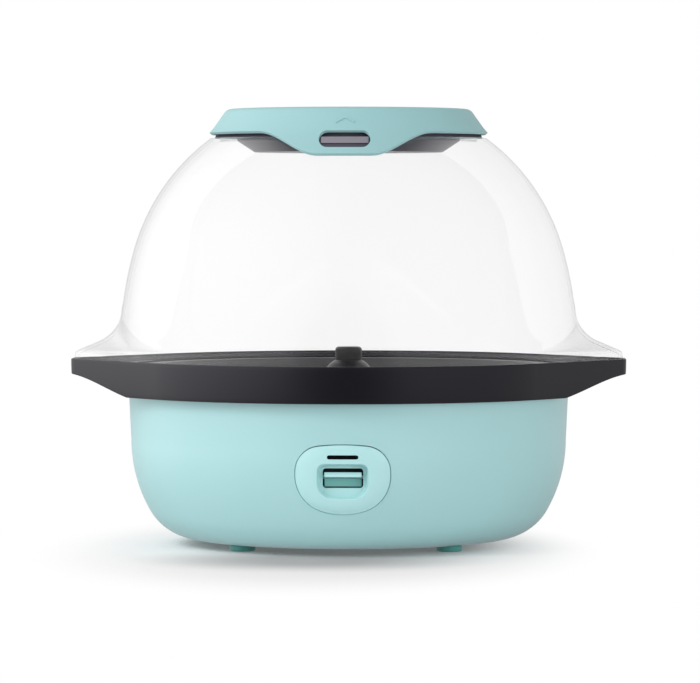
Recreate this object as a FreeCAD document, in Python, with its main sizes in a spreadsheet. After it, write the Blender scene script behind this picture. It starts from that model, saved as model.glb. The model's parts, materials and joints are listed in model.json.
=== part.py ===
"""Stirring corn popper: a bowl-shaped base, a handle ring, a clear dome and a hinged pouring cap.

Millimetres, +Z up, the front faces -Y, the origin is on the floor under the middle of the base.
"""
import FreeCAD, Part
import math
import os
import re
import Sketcher

Vector = FreeCAD.Vector

# Driving dimensions
SIZES = {
    # base housing, a bowl of two tangent arcs under a drafted rim
    "foot_height": 3.5, "foot_radius": 7.5, "foot_offset": 60.6, "foot_stem": 2.4,
    "housing_wall": 2.5, "shoulder_radius": 130.3, "housing_draft": 0.7, "housing_rim_z": 98.5,
    "side_arc": 78.5, "heel_arc": 37.5, "side_sweep": 31.2,
    "cover_radius": 76, "cover_gap": 0.4, "ledge_inner": 66, "ledge_outer": 80, "ledge_thick": 2.5,
    "cover_screw_pitch": 71, "cover_screw": 1.45, "cover_head": 3, "head_sink": 1.4, "screw_boss": 5,
    "vent_pitch": 11, "vent_half": 24, "vent_round": 2,
    "tie_pitch": 84, "tie_post_radius": 4.5, "tie_boss_radius": 6, "tie_boss_top": 16, "tie_screw": 1.6,
    "tie_head": 3.4, "tie_head_seat": 7.5, "tie_head_height": 2.6, "tie_tip": 26, "tie_tapping": 28,
    # handle ring, a circle drawn out to a blunt tip at each side
    "ring_radius": 139.2, "ring_top": 111, "ring_bottom": 89, "ring_draft": 4, "tip_reach": 166.2,
    "tangent_angle": 36.91, "tip_corner": 8, "tip_thick": 9.1,
    "lug_root": 132.5, "lug_arc": 85, "lug_span": 96,
    "skirt_radius": 138.2, "ring_hole": 121, "deck_z": 104, "deck_radius": 131, "deck_thick": 5,
    "groove_inner": 123.5, "groove_gap": 0.4, "brim_gap": 0.4, "brim_seat": 107.7,
    # clear dome
    "brim_inset": 2.15, "brim_bottom": 108, "brim_top": 115.5, "dome_wall": 2.2,
    "dome_top": 242.8, "dome_hole": 70, "crown_arc": 124.28, "crown_x": 8.91, "crown_z": 142.69,
    "crown_join": 15.99, "dome_side_arc": 224.31,
    "roof_slope": 23, "cove_arc": 16.5, "cove_x": 152.8, "cove_top": 138, "brim_bevel": 45,
    # tray, catch, cap and hinge at the top
    "tray_rim": 80.3, "tray_rim_top": 78.8, "tray_top": 245.8, "tray_wall": 1.8,
    "well_top": 66.7, "well_top_z": 241.3, "well_floor": 56.4, "well_bottom": 234.5,
    "cap_top": 260.6, "cap_rim_z": 246.1, "cap_rim": 82.8, "cap_slant": 35.1, "cap_round": 4, "cap_wall": 2,
    "tab_bottom": 231.7, "tab_reach": 99.2, "tab_root": 53, "tab_flat": 20, "tab_arc": 22,
    "slot_half": 15, "slot_height": 9, "slot_z": 240.8,
    "catch_half": 16.5, "catch_back": 81, "catch_low": 235.5, "catch_high": 243.4, "catch_gap": 0.4,
    "hinge_y": 88, "hinge_z": 246.5, "knuckle": 3.2, "knuckle_half": 9, "ear_gap": 0.4, "ear_thick": 4,
    "hinge_pin": 1.5, "hinge_front": 76, "hinge_low": 236,
    # clearances: a running fit, a tight seat, a slip fit and the space round a screw
    "running_gap": 0.05, "seat_gap": 0.02, "slip_gap": 0.1, "screw_gap": 0.2,
    # heating plate and what hangs under it
    "plate_rim": 127, "plate_top": 107, "plate_thick": 2.5, "dish_floor": 95, "dish_radius": 98,
    "dish_arc": 14, "dish_slope": 40, "boss_radius": 11, "boss_top": 104,
    "gasket_inner": 122, "gasket_outer": 126.5,
    "element_ring": 66, "element_tube": 4, "element_arc": 320,
    "clip_wall": 1.4, "clip_width": 8, "clip_reach": 11, "clip_thick": 1.2,
    "thermostat_radius": 8, "thermostat_neck": 6, "thermostat_step": 6, "thermostat_height": 11,
    "fuse_radius": 2, "fuse_length": 12, "lead_radius": 0.6, "lead_length": 34, "sensor_pitch": 38,
    "shield_z": 78, "shield_thick": 1, "shield_radius": 77, "shield_rim": 86, "shield_hole": 13,
    "stud_pitch": 52, "stud_radius": 4, "stud_thread": 2, "stud_bottom": 70,
    "bracket_thick": 2, "bracket_half": 60, "bracket_width": 13, "nut_flat": 3.5, "nut_height": 3.4,
    # geared motor
    "shaft_radius": 3, "shaft_top": 114, "journal_radius": 2, "shaft_bottom": 54.5, "journal_top": 60,
    "shaft_flat": 2.2, "gear_module": 0.8, "wheel_teeth": 36, "pinion_teeth": 12, "pressure_angle": 25,
    "gearbox_radius": 20, "gearbox_wall": 2, "gearbox_run": 30, "gearbox_floor": 54, "gearbox_lid": 74,
    "wheel_low": 64, "wheel_high": 72, "idler_low": 57, "idler_mid": 62, "idler_high": 72.5, "idler_pin": 1.5,
    "motor_radius": 24, "motor_bottom": 30, "motor_neck": 6, "stator_inner": 14.5, "stator_top": 50.5,
    "magnet_radius": 14, "magnet_top": 50, "rotor_shaft": 1.5, "pinion_low": 56.5, "pinion_high": 63,
    # stirrer
    "hub_radius": 14.5, "hub_bottom": 95.6, "hub_top": 118, "hub_cavity": 12, "hub_grip": 8,
    "rod_radius": 2, "rod_z": 97.8, "rod_tip_run": 4,
    # controls on the front
    "bezel_half": 27.4, "bezel_mid": 51, "bezel_high": 66.6, "bezel_low": 26.3, "bezel_upper": 14.5,
    "bezel_lower": 21, "bezel_proud": 0.3, "bezel_gap": 0.35, "bezel_thick": 4, "bezel_flange": 3,
    "recess_half": 14.4, "recess_low": 35.6, "recess_high": 55.4, "recess_upper": 4.2, "recess_lower": 9.5,
    "recess_floor": 124.3, "recess_plate": 2.5, "recess_wall": 2,
    "window_half": 11.6, "window_low": 41.9, "window_high": 52.9, "window_corner": 1.8,
    "lamp_half": 9, "lamp_height": 2.5, "lamp_z": 59.4, "bulb_radius": 1.9, "bulb_length": 12,
    "rocker_half": 10.9, "rocker_y": 120.4, "rocker_z": 47.4, "barrel": 4.85, "ridge_reach": 7.2,
    "rocker_pin": 1.2, "switch_half": 14, "switch_back": 100, "switch_low": 40.5, "switch_high": 54.3,
    "switch_room": 0.6,
    # cord inlet at the back
    "gland_z": 72, "gland_bore": 3.6, "gland_neck": 6.5, "gland_flange": 9.5,
    "gland_out": 135, "gland_in": 124,
}

QUARTERS = (0, 90, 180, 270)

doc = FreeCAD.newDocument("CornPopper")
sheet = doc.addObject("Spreadsheet::Sheet", "Sizes")
for row, (alias, size) in enumerate(SIZES.items(), start=1):
    sheet.set(f"A{row}", alias)
    sheet.set(f"B{row}", str(size))
    sheet.setAlias(f"B{row}", alias)
doc.recompute()

ALIAS = re.compile(r"\b(" + "|".join(sorted(SIZES, key=len, reverse=True)) + r")\b")
nodes = {}


# Expressions and drawing

def bound(formula):
    """The formula with each named size pointed at its cell."""
    return ALIAS.sub(r"Sizes.\1", str(formula))


def value(formula):
    """The formula's number."""
    return float(sheet.evalExpression(str(formula)))


def bind(item, **formulas):
    """Bind properties of an object, with __ for the dots of a path."""
    for path, formula in formulas.items():
        item.setExpression(path.replace("__", "."), bound(formula))


def make(kind, label, **formulas):
    """A new document object with bound sizes."""
    item = doc.addObject(kind, label)
    item.Label = label
    bind(item, **formulas)
    return item


def arc_edge(start, end, radius):
    """The short arc from start to end that turns to the left."""
    chord = end - start
    middle = (start + end) * 0.5
    left = Vector(-chord.y, chord.x, 0).normalize()
    rise = radius - math.sqrt(max(radius ** 2 - (chord.Length / 2) ** 2, 0))
    return Part.Arc(start, middle - left * rise, end)


def pin_point(sketch, edge, end, formulas):
    """Hold one point of a sketch at x and y from the origin."""
    for kind, axis, formula in (("DistanceX", -2, formulas[0]), ("DistanceY", -1, formulas[1])):
        if str(formula) == "0":
            sketch.addConstraint(Sketcher.Constraint("PointOnObject", edge, end, axis))
            continue
        index = sketch.addConstraint(Sketcher.Constraint(kind, -1, 1, edge, end, value(formula)))
        sketch.setExpression(f"Constraints[{index}]", bound(formula))


def size_radius(sketch, edge, formula):
    """Bind the radius of an arc or a circle."""
    index = sketch.addConstraint(Sketcher.Constraint("Radius", edge, value(formula)))
    sketch.setExpression(f"Constraints[{index}]", bound(formula))


def draw(sketch, corners):
    """A closed outline. A corner is (x, y), or (x, y, radius, turn) where an arc arrives at it.

    The turn is +1 for an arc to the left and -1 for one to the right.
    """
    places = [Vector(value(corner[0]), value(corner[1]), 0) for corner in corners]
    edges = []
    for index, corner in enumerate(corners):
        following = (index + 1) % len(corners)
        start, end = places[index], places[following]
        target = corners[following]
        if len(target) == 4:
            ends = (start, end) if target[3] > 0 else (end, start)
            edge = sketch.addGeometry(arc_edge(*ends, value(target[2])), False)
        else:
            edge = sketch.addGeometry(Part.LineSegment(start, end), False)
        forward = sketch.Geometry[edge].StartPoint.distanceToPoint(start) < 1e-4
        edges.append((edge, 1 if forward else 2, 2 if forward else 1))
    for index, corner in enumerate(corners):
        edge, head, tail = edges[index]
        next_edge, next_head, _ = edges[(index + 1) % len(edges)]
        sketch.addConstraint(Sketcher.Constraint("Coincident", edge, tail, next_edge, next_head))
        pin_point(sketch, edge, head, corner)
        if len(corner) == 4:
            size_radius(sketch, edges[index - 1][0], corner[2])


def draw_circle(sketch, x, y, radius):
    """A circle held by its centre and radius."""
    centre = Vector(value(x), value(y), 0)
    edge = sketch.addGeometry(Part.Circle(centre, Vector(0, 0, 1), value(radius)), False)
    pin_point(sketch, edge, 3, (x, y))
    size_radius(sketch, edge, radius)


def new_sketch(body, plane, level="0"):
    """A sketch on one of the body's own origin planes, moved along the plane's normal."""
    sketch = body.newObject("Sketcher::SketchObject", f"{body.Name}_sketch")
    support = next(item for item in body.Origin.OriginFeatures if item.Role == plane)
    sketch.AttachmentSupport = (support, [""])
    sketch.MapMode = "FlatFace"
    if str(level) != "0":
        bind(sketch, AttachmentOffset__Base__z=level)
    return sketch


def new_body(label):
    """An empty body."""
    return make("PartDesign::Body", label)


def feature(body, kind, sketch, **formulas):
    """A pad, pocket, revolution or groove of one sketch."""
    item = body.newObject(f"PartDesign::{kind}", f"{body.Name}_{kind}")
    item.Profile = sketch
    bind(item, **formulas)
    return item


def spun(label, corners):
    """A body turned about Z from an outline of radius and height."""
    body = new_body(label)
    sketch = new_sketch(body, "XZ_Plane")
    draw(sketch, corners)
    turned = feature(body, "Revolution", sketch)
    turned.ReferenceAxis = (sketch, ["V_Axis"])
    turned.Angle = 360
    return body


def pad(body, corners, length, plane="XY_Plane", level="0", taper=None, down=False):
    """Add a prism of an outline to a body."""
    sketch = new_sketch(body, plane, level)
    draw(sketch, corners)
    item = feature(body, "Pad", sketch, Length=length)
    if taper is not None:
        bind(item, TaperAngle=taper)
    item.Reversed = down
    return item


def prism(label, corners, length, plane="XY_Plane", level="0"):
    """A body that is one prism."""
    body = new_body(label)
    pad(body, corners, length, plane, level)
    return body


def drill(body, circles, level, depth, plane="XY_Plane"):
    """Cut round holes upwards from a level of a body; circles are (x, y, radius)."""
    sketch = new_sketch(body, plane, level)
    for x, y, radius in circles:
        draw_circle(sketch, x, y, radius)
    doc.recompute()
    before = body.Shape.Volume
    hole = feature(body, "Pocket", sketch, Length=depth)
    hole.Reversed = True
    doc.recompute()
    if body.Shape.Volume >= before:
        raise RuntimeError(f"{body.Label}: holes at {level} cut nothing")


def raise_bosses(body, circles, level, height):
    """Add round bosses upwards from a level of a body."""
    sketch = new_sketch(body, "XY_Plane", level)
    for x, y, radius in circles:
        draw_circle(sketch, x, y, radius)
    feature(body, "Pad", sketch, Length=height)


def cylinder(label, radius, height, x="0", y="0", z="0", lie=None):
    """A plain cylinder, upright or lying along X or Y from its start."""
    item = make("Part::Cylinder", label, Radius=radius, Height=height)
    if lie == "X":
        item.Placement.Rotation = FreeCAD.Rotation(Vector(0, 1, 0), 90)
    if lie == "Y":
        item.Placement.Rotation = FreeCAD.Rotation(Vector(1, 0, 0), -90)
    bind(item, Placement__Base__x=x, Placement__Base__y=y, Placement__Base__z=z)
    return item


def along_x(label, radius, reach, axis):
    """A plain cylinder lying along X, with the same reach to both sides of an axis given as y and z."""
    return cylinder(label, radius, f"2 * ({reach})", f"-({reach})", *axis, lie="X")


def box(label, low, high):
    """A plain box between two corners given as formulas."""
    item = make("Part::Box", label)
    for path, start, end in zip(("Length", "Width", "Height"), low, high):
        item.setExpression(path, bound(f"({end}) - ({start})"))
    bind(item, Placement__Base__x=low[0], Placement__Base__y=low[1], Placement__Base__z=low[2])
    return item


def cut(label, base, *tools):
    """The base less every tool."""
    item = make("Part::Cut", label)
    item.Base = base
    item.Tool = tools[0] if len(tools) == 1 else fuse(f"{label}_tools", *tools)
    return item


def fuse(label, *pieces):
    """Several solids as one."""
    item = make("Part::MultiFuse", label)
    item.Shapes = list(pieces)
    return item


def common(label, *pieces):
    """What several solids share."""
    item = make("Part::MultiCommon", label)
    item.Shapes = list(pieces)
    return item


def group(label, pieces):
    """Identical separate solids kept as one sub-part."""
    item = make("Part::Compound", label)
    item.Links = pieces
    return item


def ring_places(pitch, angles):
    """Centres at a pitch radius, as formulas."""
    return [(f"{pitch} * cos({angle})", f"{pitch} * sin({angle})") for angle in angles]


def placed(item, x, y):
    """Move an item to a centre in plan."""
    bind(item, Placement__Base__x=x, Placement__Base__y=y)
    return item


def mirrored(corners):
    """A right half outline from bottom to top, closed by its mirror image in the upright axis."""
    other = []
    for index in range(len(corners) - 1, -1, -1):
        arrival = corners[index + 1][2:] if index + 1 < len(corners) else ()
        other.append((f"-({corners[index][0]})", corners[index][1], *arrival))
    return list(corners) + other


# Shared outlines

SHOULDER_Z = "(foot_height + heel_arc + (side_arc - heel_arc) * sin(side_sweep))"
SIDE_CENTRE = "(shoulder_radius - side_arc)"
HEEL_X = "(shoulder_radius - side_arc + (side_arc - heel_arc) * cos(side_sweep))"
HOUSING_RIM = "(shoulder_radius + housing_draft)"


def bowl_curve(offset, up=True):
    """The housing's side from its flat bottom to its rim, moved outwards by an offset."""
    side, heel = f"side_arc + ({offset})", f"heel_arc + ({offset})"
    floor = (HEEL_X, f"foot_height - ({offset})")
    join = (f"{SIDE_CENTRE} + ({side}) * cos(side_sweep)", f"{SHOULDER_Z} - ({side}) * sin(side_sweep)")
    shoulder = (f"shoulder_radius + ({offset})", SHOULDER_Z)
    rim = (f"{HOUSING_RIM} + ({offset})", "ring_bottom")
    if up:
        return [floor, (*join, heel, 1), (*shoulder, side, 1), rim]
    return [rim, shoulder, (*join, side, -1), (*floor, heel, -1)]


def bowl(label, offset):
    """A solid bowl of the housing's outer form, moved outwards by an offset."""
    top = "housing_rim_z"
    curve = bowl_curve(offset)
    return spun(label, [("0", curve[0][1]), *curve, (curve[-1][0], top), ("0", top)])


def lemon(inset, corner="tip_corner"):
    """The ring's plan: a circle drawn out by tangent lines to a blunt tip at each side."""
    radius, tip = f"(ring_radius - ({inset}))", f"(tip_reach - ({inset}))"
    half = f"({radius} - {tip} * cos(tangent_angle)) / sin(tangent_angle)"
    run = f"({corner} * tan(tangent_angle / 2))"
    flat = (tip, f"{half} - {run}")
    bend = (f"{tip} - {run} * sin(tangent_angle)", f"{half} + {run} * cos(tangent_angle)")
    touch = (f"{radius} * cos(tangent_angle)", f"{radius} * sin(tangent_angle)")
    quarter = [flat, (*bend, corner, 1), touch]
    outline = []
    for sign_x, sign_y in ((1, 1), (-1, 1), (-1, -1), (1, -1)):
        turned = [(f"{sign_x} * ({place[0]})", f"{sign_y} * ({place[1]})") for place in quarter]
        if sign_x * sign_y > 0:
            outline += [turned[0], (*turned[1], corner, 1), turned[2]]
        else:
            outline += [(*turned[2], radius, 1), turned[1], (*turned[0], corner, 1)]
    return outline


def egg(offset):
    """The bezel's front outline: a flat crown, round shoulders and a full round chin."""
    rise, drop = "(bezel_high - bezel_mid)", "(bezel_mid - bezel_low)"
    upper_x, lower_x = "(bezel_half - bezel_upper)", "(bezel_half - bezel_lower)"
    crown = (f"(({upper_x}^2 + {rise}^2 - bezel_upper^2) / (2 * ({rise} - bezel_upper)))")
    chin = (f"(({lower_x}^2 + {drop}^2 - bezel_lower^2) / (2 * ({drop} - bezel_lower)))")
    crown_angle = f"acos({upper_x} / ({crown} - bezel_upper))"
    chin_angle = f"acos({lower_x} / ({chin} - bezel_lower))"
    upper, lower = f"(bezel_upper + ({offset}))", f"(bezel_lower + ({offset}))"
    right = [
        (f"{lower_x} + {lower} * cos({chin_angle})", f"bezel_mid - {lower} * sin({chin_angle})"),
        (f"bezel_half + ({offset})", "bezel_mid", lower, 1),
        (f"{upper_x} + {upper} * cos({crown_angle})", f"bezel_mid + {upper} * sin({crown_angle})", upper, 1),
    ]
    outline = mirrored(right)
    outline[3] = (*outline[3][:2], f"{crown} + ({offset})", 1)
    outline[0] = (*outline[0][:2], f"{chin} + ({offset})", 1)
    return outline


def rounded_panel(half, low, high, lower, upper, spread="0"):
    """An upright rectangle with one radius at its lower corners and another at its upper ones."""
    half, low, high = f"({half} + {spread})", f"({low} - {spread})", f"({high} + {spread})"
    lower, upper = f"({lower} + {spread})", f"({upper} + {spread})"
    return mirrored([
        (f"{half} - {lower}", low),
        (half, f"{low} + {lower}", lower, 1),
        (half, f"{high} - {upper}"),
        (f"{half} - {upper}", high, upper, 1),
    ])


def stadium(half, height, z, gap="0"):
    """A lying slot with round ends."""
    round_end = f"({height} / 2 - {gap})"
    straight = f"({half} - {height} / 2)"
    outline = mirrored([
        (straight, f"{z} - {round_end}"),
        (f"{straight} + {round_end}", z, round_end, 1),
        (straight, f"{z} + {round_end}", round_end, 1),
    ])
    return outline


def front_prism(label, corners, near, far):
    """A prism of a front outline between two distances towards the front."""
    return prism(label, corners, f"({near}) - ({far})", "XZ_Plane", far)


BEZEL_DEPTH = ("shoulder_radius + 10", "shoulder_radius - 25")


# Base

def base_housing():
    """Bowl shell with an opening for the bottom cover, tie bosses and screw bosses."""
    inner = "-housing_wall"
    floor_top = "(foot_height + housing_wall)"
    ledge_top = f"({floor_top} + ledge_thick)"
    shell = spun("housing_shell", [
        ("cover_radius + cover_gap", "foot_height"),
        *bowl_curve("0"),
        (HOUSING_RIM, "housing_rim_z"),
        (f"{HOUSING_RIM} - housing_wall", "housing_rim_z"),
        *bowl_curve(inner, up=False),
        ("ledge_outer + ledge_thick", floor_top),
        ("ledge_outer", ledge_top),
        ("ledge_inner", ledge_top),
        ("ledge_inner", floor_top),
        ("cover_radius + cover_gap", floor_top),
    ])
    ties = ring_places("tie_pitch", QUARTERS)
    screws = ring_places("cover_screw_pitch", QUARTERS)
    tie_bosses = [(x, y, "tie_boss_radius") for x, y in ties]
    raise_bosses(shell, tie_bosses, floor_top, f"tie_boss_top - {floor_top}")
    raise_bosses(shell, [(x, y, "2.4 * cover_screw") for x, y in screws], ledge_top, "screw_boss")
    shanks = [(x, y, "tie_screw + slip_gap") for x, y in ties]
    drill(shell, shanks, "foot_height", "tie_boss_top - foot_height")
    heads = [(x, y, "tie_head + screw_gap") for x, y in ties]
    drill(shell, heads, "foot_height", "tie_head_seat - foot_height")
    threads = [(x, y, "cover_screw + running_gap") for x, y in screws]
    drill(shell, threads, floor_top, "ledge_thick + screw_boss")
    corners = [(x, y) for x in (-1, 1) for y in (-1, 1)]
    stems = [(f"{x} * foot_offset", f"{y} * foot_offset", "foot_stem + slip_gap") for x, y in corners]
    drill(shell, stems, "foot_height", "2 * housing_wall")
    window = front_prism("bezel_opening", egg("bezel_gap"), *BEZEL_DEPTH)
    depth = "8 * housing_wall"
    inlet = cylinder("inlet_hole", "gland_neck + screw_gap", depth, "0", "gland_in", "gland_z", lie="Y")
    return cut("base_housing", shell, window, inlet)


def foot(name, x, y):
    """Turned foot with a stem that plugs into the housing."""
    round_edge = "foot_height / 3"
    stem_top = "foot_height + housing_wall + 0.5"
    body = spun(name, [
        ("0", "0"),
        (f"foot_radius - {round_edge}", "0"),
        ("foot_radius", round_edge, round_edge, 1),
        ("foot_radius", "foot_height"),
        ("foot_stem", "foot_height"),
        ("foot_stem", stem_top),
        ("0", stem_top),
    ])
    return placed(body, f"{x} * foot_offset", f"{y} * foot_offset")


def bottom_cover():
    """Disc with rows of cooling slots and countersunk screw places."""
    cover = spun("bottom_cover", [
        ("0", "foot_height"),
        ("cover_radius", "foot_height"),
        ("cover_radius", "foot_height + housing_wall"),
        ("0", "foot_height + housing_wall"),
    ])
    screws = ring_places("cover_screw_pitch", QUARTERS)
    drill(cover, [(x, y, "cover_screw + screw_gap") for x, y in screws], "foot_height", "housing_wall")
    drill(cover, [(x, y, "cover_head + screw_gap") for x, y in screws], "foot_height", "head_sink")
    slots = new_sketch(cover, "XY_Plane", "foot_height")
    for row in range(-3, 4):
        draw(slots, stadium("vent_half", "2 * vent_round", f"{row} * vent_pitch"))
    feature(cover, "Pocket", slots, Length="housing_wall").Reversed = True
    return cover


def screw(label, x, y, head, shank, head_low, seat, tip):
    """Pan-headed screw driven upwards."""
    body = spun(label, [
        ("0", head_low),
        (head, head_low),
        (head, seat),
        (shank, seat),
        (shank, tip),
        ("0", tip),
    ])
    return placed(body, x, y)


def cover_screws():
    """Four screws that hold the bottom cover."""
    low, seat = "foot_height + slip_gap", "foot_height + head_sink"
    tip = "foot_height + housing_wall + ledge_thick + screw_boss - 1"
    places = ring_places("cover_screw_pitch", QUARTERS)
    return group("cover_screws", [
        screw(f"cover_screw_{count}", x, y, "cover_head", "cover_screw", low, seat, tip)
        for count, (x, y) in enumerate(places, start=1)
    ])


def tie_screws():
    """Four long screws that pull the plate, ring and housing together."""
    low, seat = "tie_head_seat - tie_head_height", "tie_head_seat"
    places = ring_places("tie_pitch", QUARTERS)
    return group("tie_screws", [
        screw(f"tie_screw_{count}", x, y, "tie_head", "tie_screw", low, seat, "tie_tip")
        for count, (x, y) in enumerate(places, start=1)
    ])


def tie_posts():
    """Four tapped posts between the housing's bosses and the plate."""
    bottom, top = "tie_boss_top", PLATE_UNDER
    posts = []
    for count, (x, y) in enumerate(ring_places("tie_pitch", QUARTERS), start=1):
        post = spun(f"tie_post_{count}", [
            ("tie_screw + running_gap", bottom),
            ("tie_post_radius", bottom),
            ("tie_post_radius", top),
            ("0", top),
            ("0", "tie_tapping"),
            ("tie_screw + running_gap", "tie_tapping"),
        ])
        posts.append(placed(post, x, y))
    return group("tie_posts", posts)


def cord_gland():
    """Bushing in the back wall that a cord passes through."""
    wall_out, wall_in = f"{HOUSING_RIM} + slip_gap", f"{HOUSING_RIM} - housing_wall - 1"
    chamfer = "1.5"
    body = spun("cord_gland", [
        ("gland_bore", "gland_in"),
        ("gland_flange - 1", "gland_in"),
        ("gland_flange - 1", wall_in),
        ("gland_neck", wall_in),
        ("gland_neck", wall_out),
        ("gland_flange", wall_out),
        (f"gland_flange - {chamfer}", f"gland_out - {chamfer}"),
        (f"gland_bore + {chamfer}", "gland_out"),
        ("gland_bore", "gland_out"),
    ])
    body.Placement.Rotation = FreeCAD.Rotation(Vector(1, 0, 0), -90)
    bind(body, Placement__Base__z="gland_z")
    return body


# Handle ring

def handle_ring():
    """Ring with a blunt handle at each side, a seat for the dome and a groove for the housing."""
    blank = new_body("ring_blank")
    pad(blank, lemon("0"), "ring_top - ring_bottom", level="ring_top", taper="-ring_draft", down=True)
    underside = front_prism("lug_underside", [
        ("lug_root", "ring_bottom - 1"),
        ("tip_reach + 1", "ring_bottom - 1"),
        ("tip_reach + 1", "ring_top - tip_thick"),
        ("tip_reach", "ring_top - tip_thick"),
        ("lug_root", "ring_bottom", "lug_arc", 1),
    ], "lug_span", "-lug_span")
    other_side = make("Part::Mirroring", "lug_underside_left")
    other_side.Source = underside
    other_side.Normal = Vector(1, 0, 0)
    skirt = cylinder("ring_skirt", "skirt_radius", "ring_top - ring_bottom - 6", z="ring_bottom")
    grips = fuse("ring_grips", cut("ring_lugs", blank, underside, other_side), skirt)
    seat = prism("brim_recess", lemon("brim_inset - brim_gap"), "20", level="brim_seat")
    inside = spun("ring_inside", [
        ("0", "ring_bottom - 1"),
        ("ring_hole", "ring_bottom - 1"),
        ("ring_hole", "deck_z"),
        ("deck_radius", "deck_z"),
        ("deck_radius", "ring_top + 1"),
        ("0", "ring_top + 1"),
    ])
    groove = spun("rim_groove", [
        ("groove_inner", "ring_bottom - 1"),
        (f"{HOUSING_RIM} + groove_gap", "ring_bottom - 1"),
        (f"{HOUSING_RIM} + groove_gap", "deck_z - deck_thick"),
        ("groove_inner", "deck_z - deck_thick"),
    ])
    return cut("handle_ring", grips, seat, inside, groove)


# Heating plate and what hangs under it

def dish_curve(lift):
    """The dish from its floor to its flange, raised by a lift square to the surface."""
    arc = f"(dish_arc - ({lift}))"
    floor = f"dish_floor + ({lift})"
    bend = (f"dish_radius + {arc} * sin(dish_slope)", f"{floor} + {arc} * (1 - cos(dish_slope))")
    return [("dish_radius", floor), (*bend, arc, 1)]


def heating_plate():
    """Cast dish with a flange that rests on the ring and a raised boss round the shaft."""
    under = "(-plate_thick)"
    top, below = dish_curve("0"), dish_curve(under)
    climb = "tan(dish_slope)"
    flange_low = "plate_top - plate_thick"
    lip = "plate_top"
    wall_x = f"{top[1][0]} + ({lip} - ({top[1][1]})) / {climb}"
    foot_x = f"{below[1][0]} + ({flange_low} - ({below[1][1]})) / {climb}"
    return spun("heating_plate", [
        ("shaft_radius + 2", f"dish_floor + {under}"),
        below[0],
        below[1],
        (foot_x, flange_low),
        ("plate_rim", flange_low),
        ("plate_rim", lip),
        (wall_x, lip),
        top[1][:2],
        (*top[0], top[1][2], -1),
        ("boss_radius", "dish_floor"),
        ("boss_radius - 2", "boss_top"),
        ("shaft_radius + 2", "boss_top"),
    ])


def plate_gasket():
    """Flat heat-resistant ring between the deck and the plate's flange."""
    return spun("plate_gasket", [
        ("gasket_inner", "deck_z"),
        ("gasket_outer", "deck_z"),
        ("gasket_outer", "plate_top - plate_thick"),
        ("gasket_inner", "plate_top - plate_thick"),
    ])


def shaft_bush():
    """Sleeve in the plate's boss that the drive shaft turns in."""
    low, high = f"{PLATE_UNDER} - 1", "boss_top"
    return spun("shaft_bush", [
        ("shaft_radius + running_gap", low),
        ("shaft_radius + 2 - running_gap", low),
        ("shaft_radius + 2 - running_gap", high),
        ("shaft_radius + running_gap", high),
    ])


PLATE_UNDER = "(dish_floor - plate_thick)"
ELEMENT_Z = "(dish_floor - plate_thick - element_tube - slip_gap)"


def heating_element():
    """Open ring of sheathed element with two terminal pins at the back."""
    ring = make("Part::Torus", "element_ring_tube", Radius1="element_ring", Radius2="element_tube",
                Angle3="element_arc", Placement__Base__z=ELEMENT_Z)
    half_open = (360 - value("element_arc")) / 2
    ring.Placement.Rotation = FreeCAD.Rotation(Vector(0, 0, 1), 90 + half_open)
    low = "shield_z + shield_thick + 2"
    pins = [
        cylinder(f"element_pin_{count}", "element_tube / 2", f"{ELEMENT_Z} - ({low})", x, y, low)
        for count, (x, y) in enumerate(ring_places("element_ring", (90 + half_open, 90 - half_open)), start=1)
    ]
    return fuse("heating_element", ring, *pins)


def element_clips():
    """Three saddles that hold the element up against the plate."""
    side = "clip_width / 2"
    inner, outer = "element_ring - clip_reach", "element_ring + clip_reach"
    clips = []
    for count, angle in enumerate((30, 150, 270), start=1):
        name = f"element_clip_{count}"
        axis = ("element_ring", f"-{side} - 1", ELEMENT_Z)
        round_bar_length = "clip_width + 2"
        saddle = cylinder(f"{name}_saddle", "element_tube + clip_wall", round_bar_length, *axis, lie="Y")
        bore = cylinder(f"{name}_bore", "element_tube + screw_gap", round_bar_length, *axis, lie="Y")
        far = (outer, side, PLATE_UNDER)
        ears = box(f"{name}_ears", (inner, f"-{side}", f"{PLATE_UNDER} - clip_thick"), far)
        room = box(f"{name}_room", (inner, f"-{side}", "shield_z"), far)
        clip = cut(name, common(f"{name}_blank", fuse(f"{name}_form", saddle, ears), room), bore)
        clip.Placement.Rotation = FreeCAD.Rotation(Vector(0, 0, 1), angle)
        clips.append(clip)
    return group("element_clips", clips)


def thermostat():
    """Snap-disc thermostat against the plate, near the front."""
    low, step = f"{PLATE_UNDER} - thermostat_height", f"{PLATE_UNDER} - thermostat_step"
    body = spun("thermostat", [
        ("0", low),
        ("thermostat_neck", low),
        ("thermostat_neck", step),
        ("thermostat_radius", step),
        ("thermostat_radius", PLATE_UNDER),
        ("0", PLATE_UNDER),
    ])
    return placed(body, "0", "-sensor_pitch")


def thermal_fuse():
    """One-shot fuse with its two leads, near the back."""
    axis = ("sensor_pitch", f"{PLATE_UNDER} - fuse_radius - screw_gap")
    case = along_x("fuse_case", "fuse_radius", "fuse_length / 2", axis)
    leads = along_x("fuse_leads", "lead_radius", "lead_length / 2", axis)
    return fuse("thermal_fuse", case, leads)


def heat_shield():
    """Pressed pan that keeps the element's heat off the motor."""
    low, high = "shield_z", "shield_z + shield_thick"
    pan = spun("heat_shield", [
        ("shield_hole", low),
        ("shield_radius", low),
        ("shield_radius", "shield_rim"),
        ("shield_radius - shield_thick", "shield_rim"),
        ("shield_radius - shield_thick", high),
        ("shield_hole", high),
    ])
    holes = [(f"{side} * stud_pitch", "0", "stud_thread + screw_gap") for side in (-1, 1)]
    drill(pan, holes, low, "shield_thick")
    return pan


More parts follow.
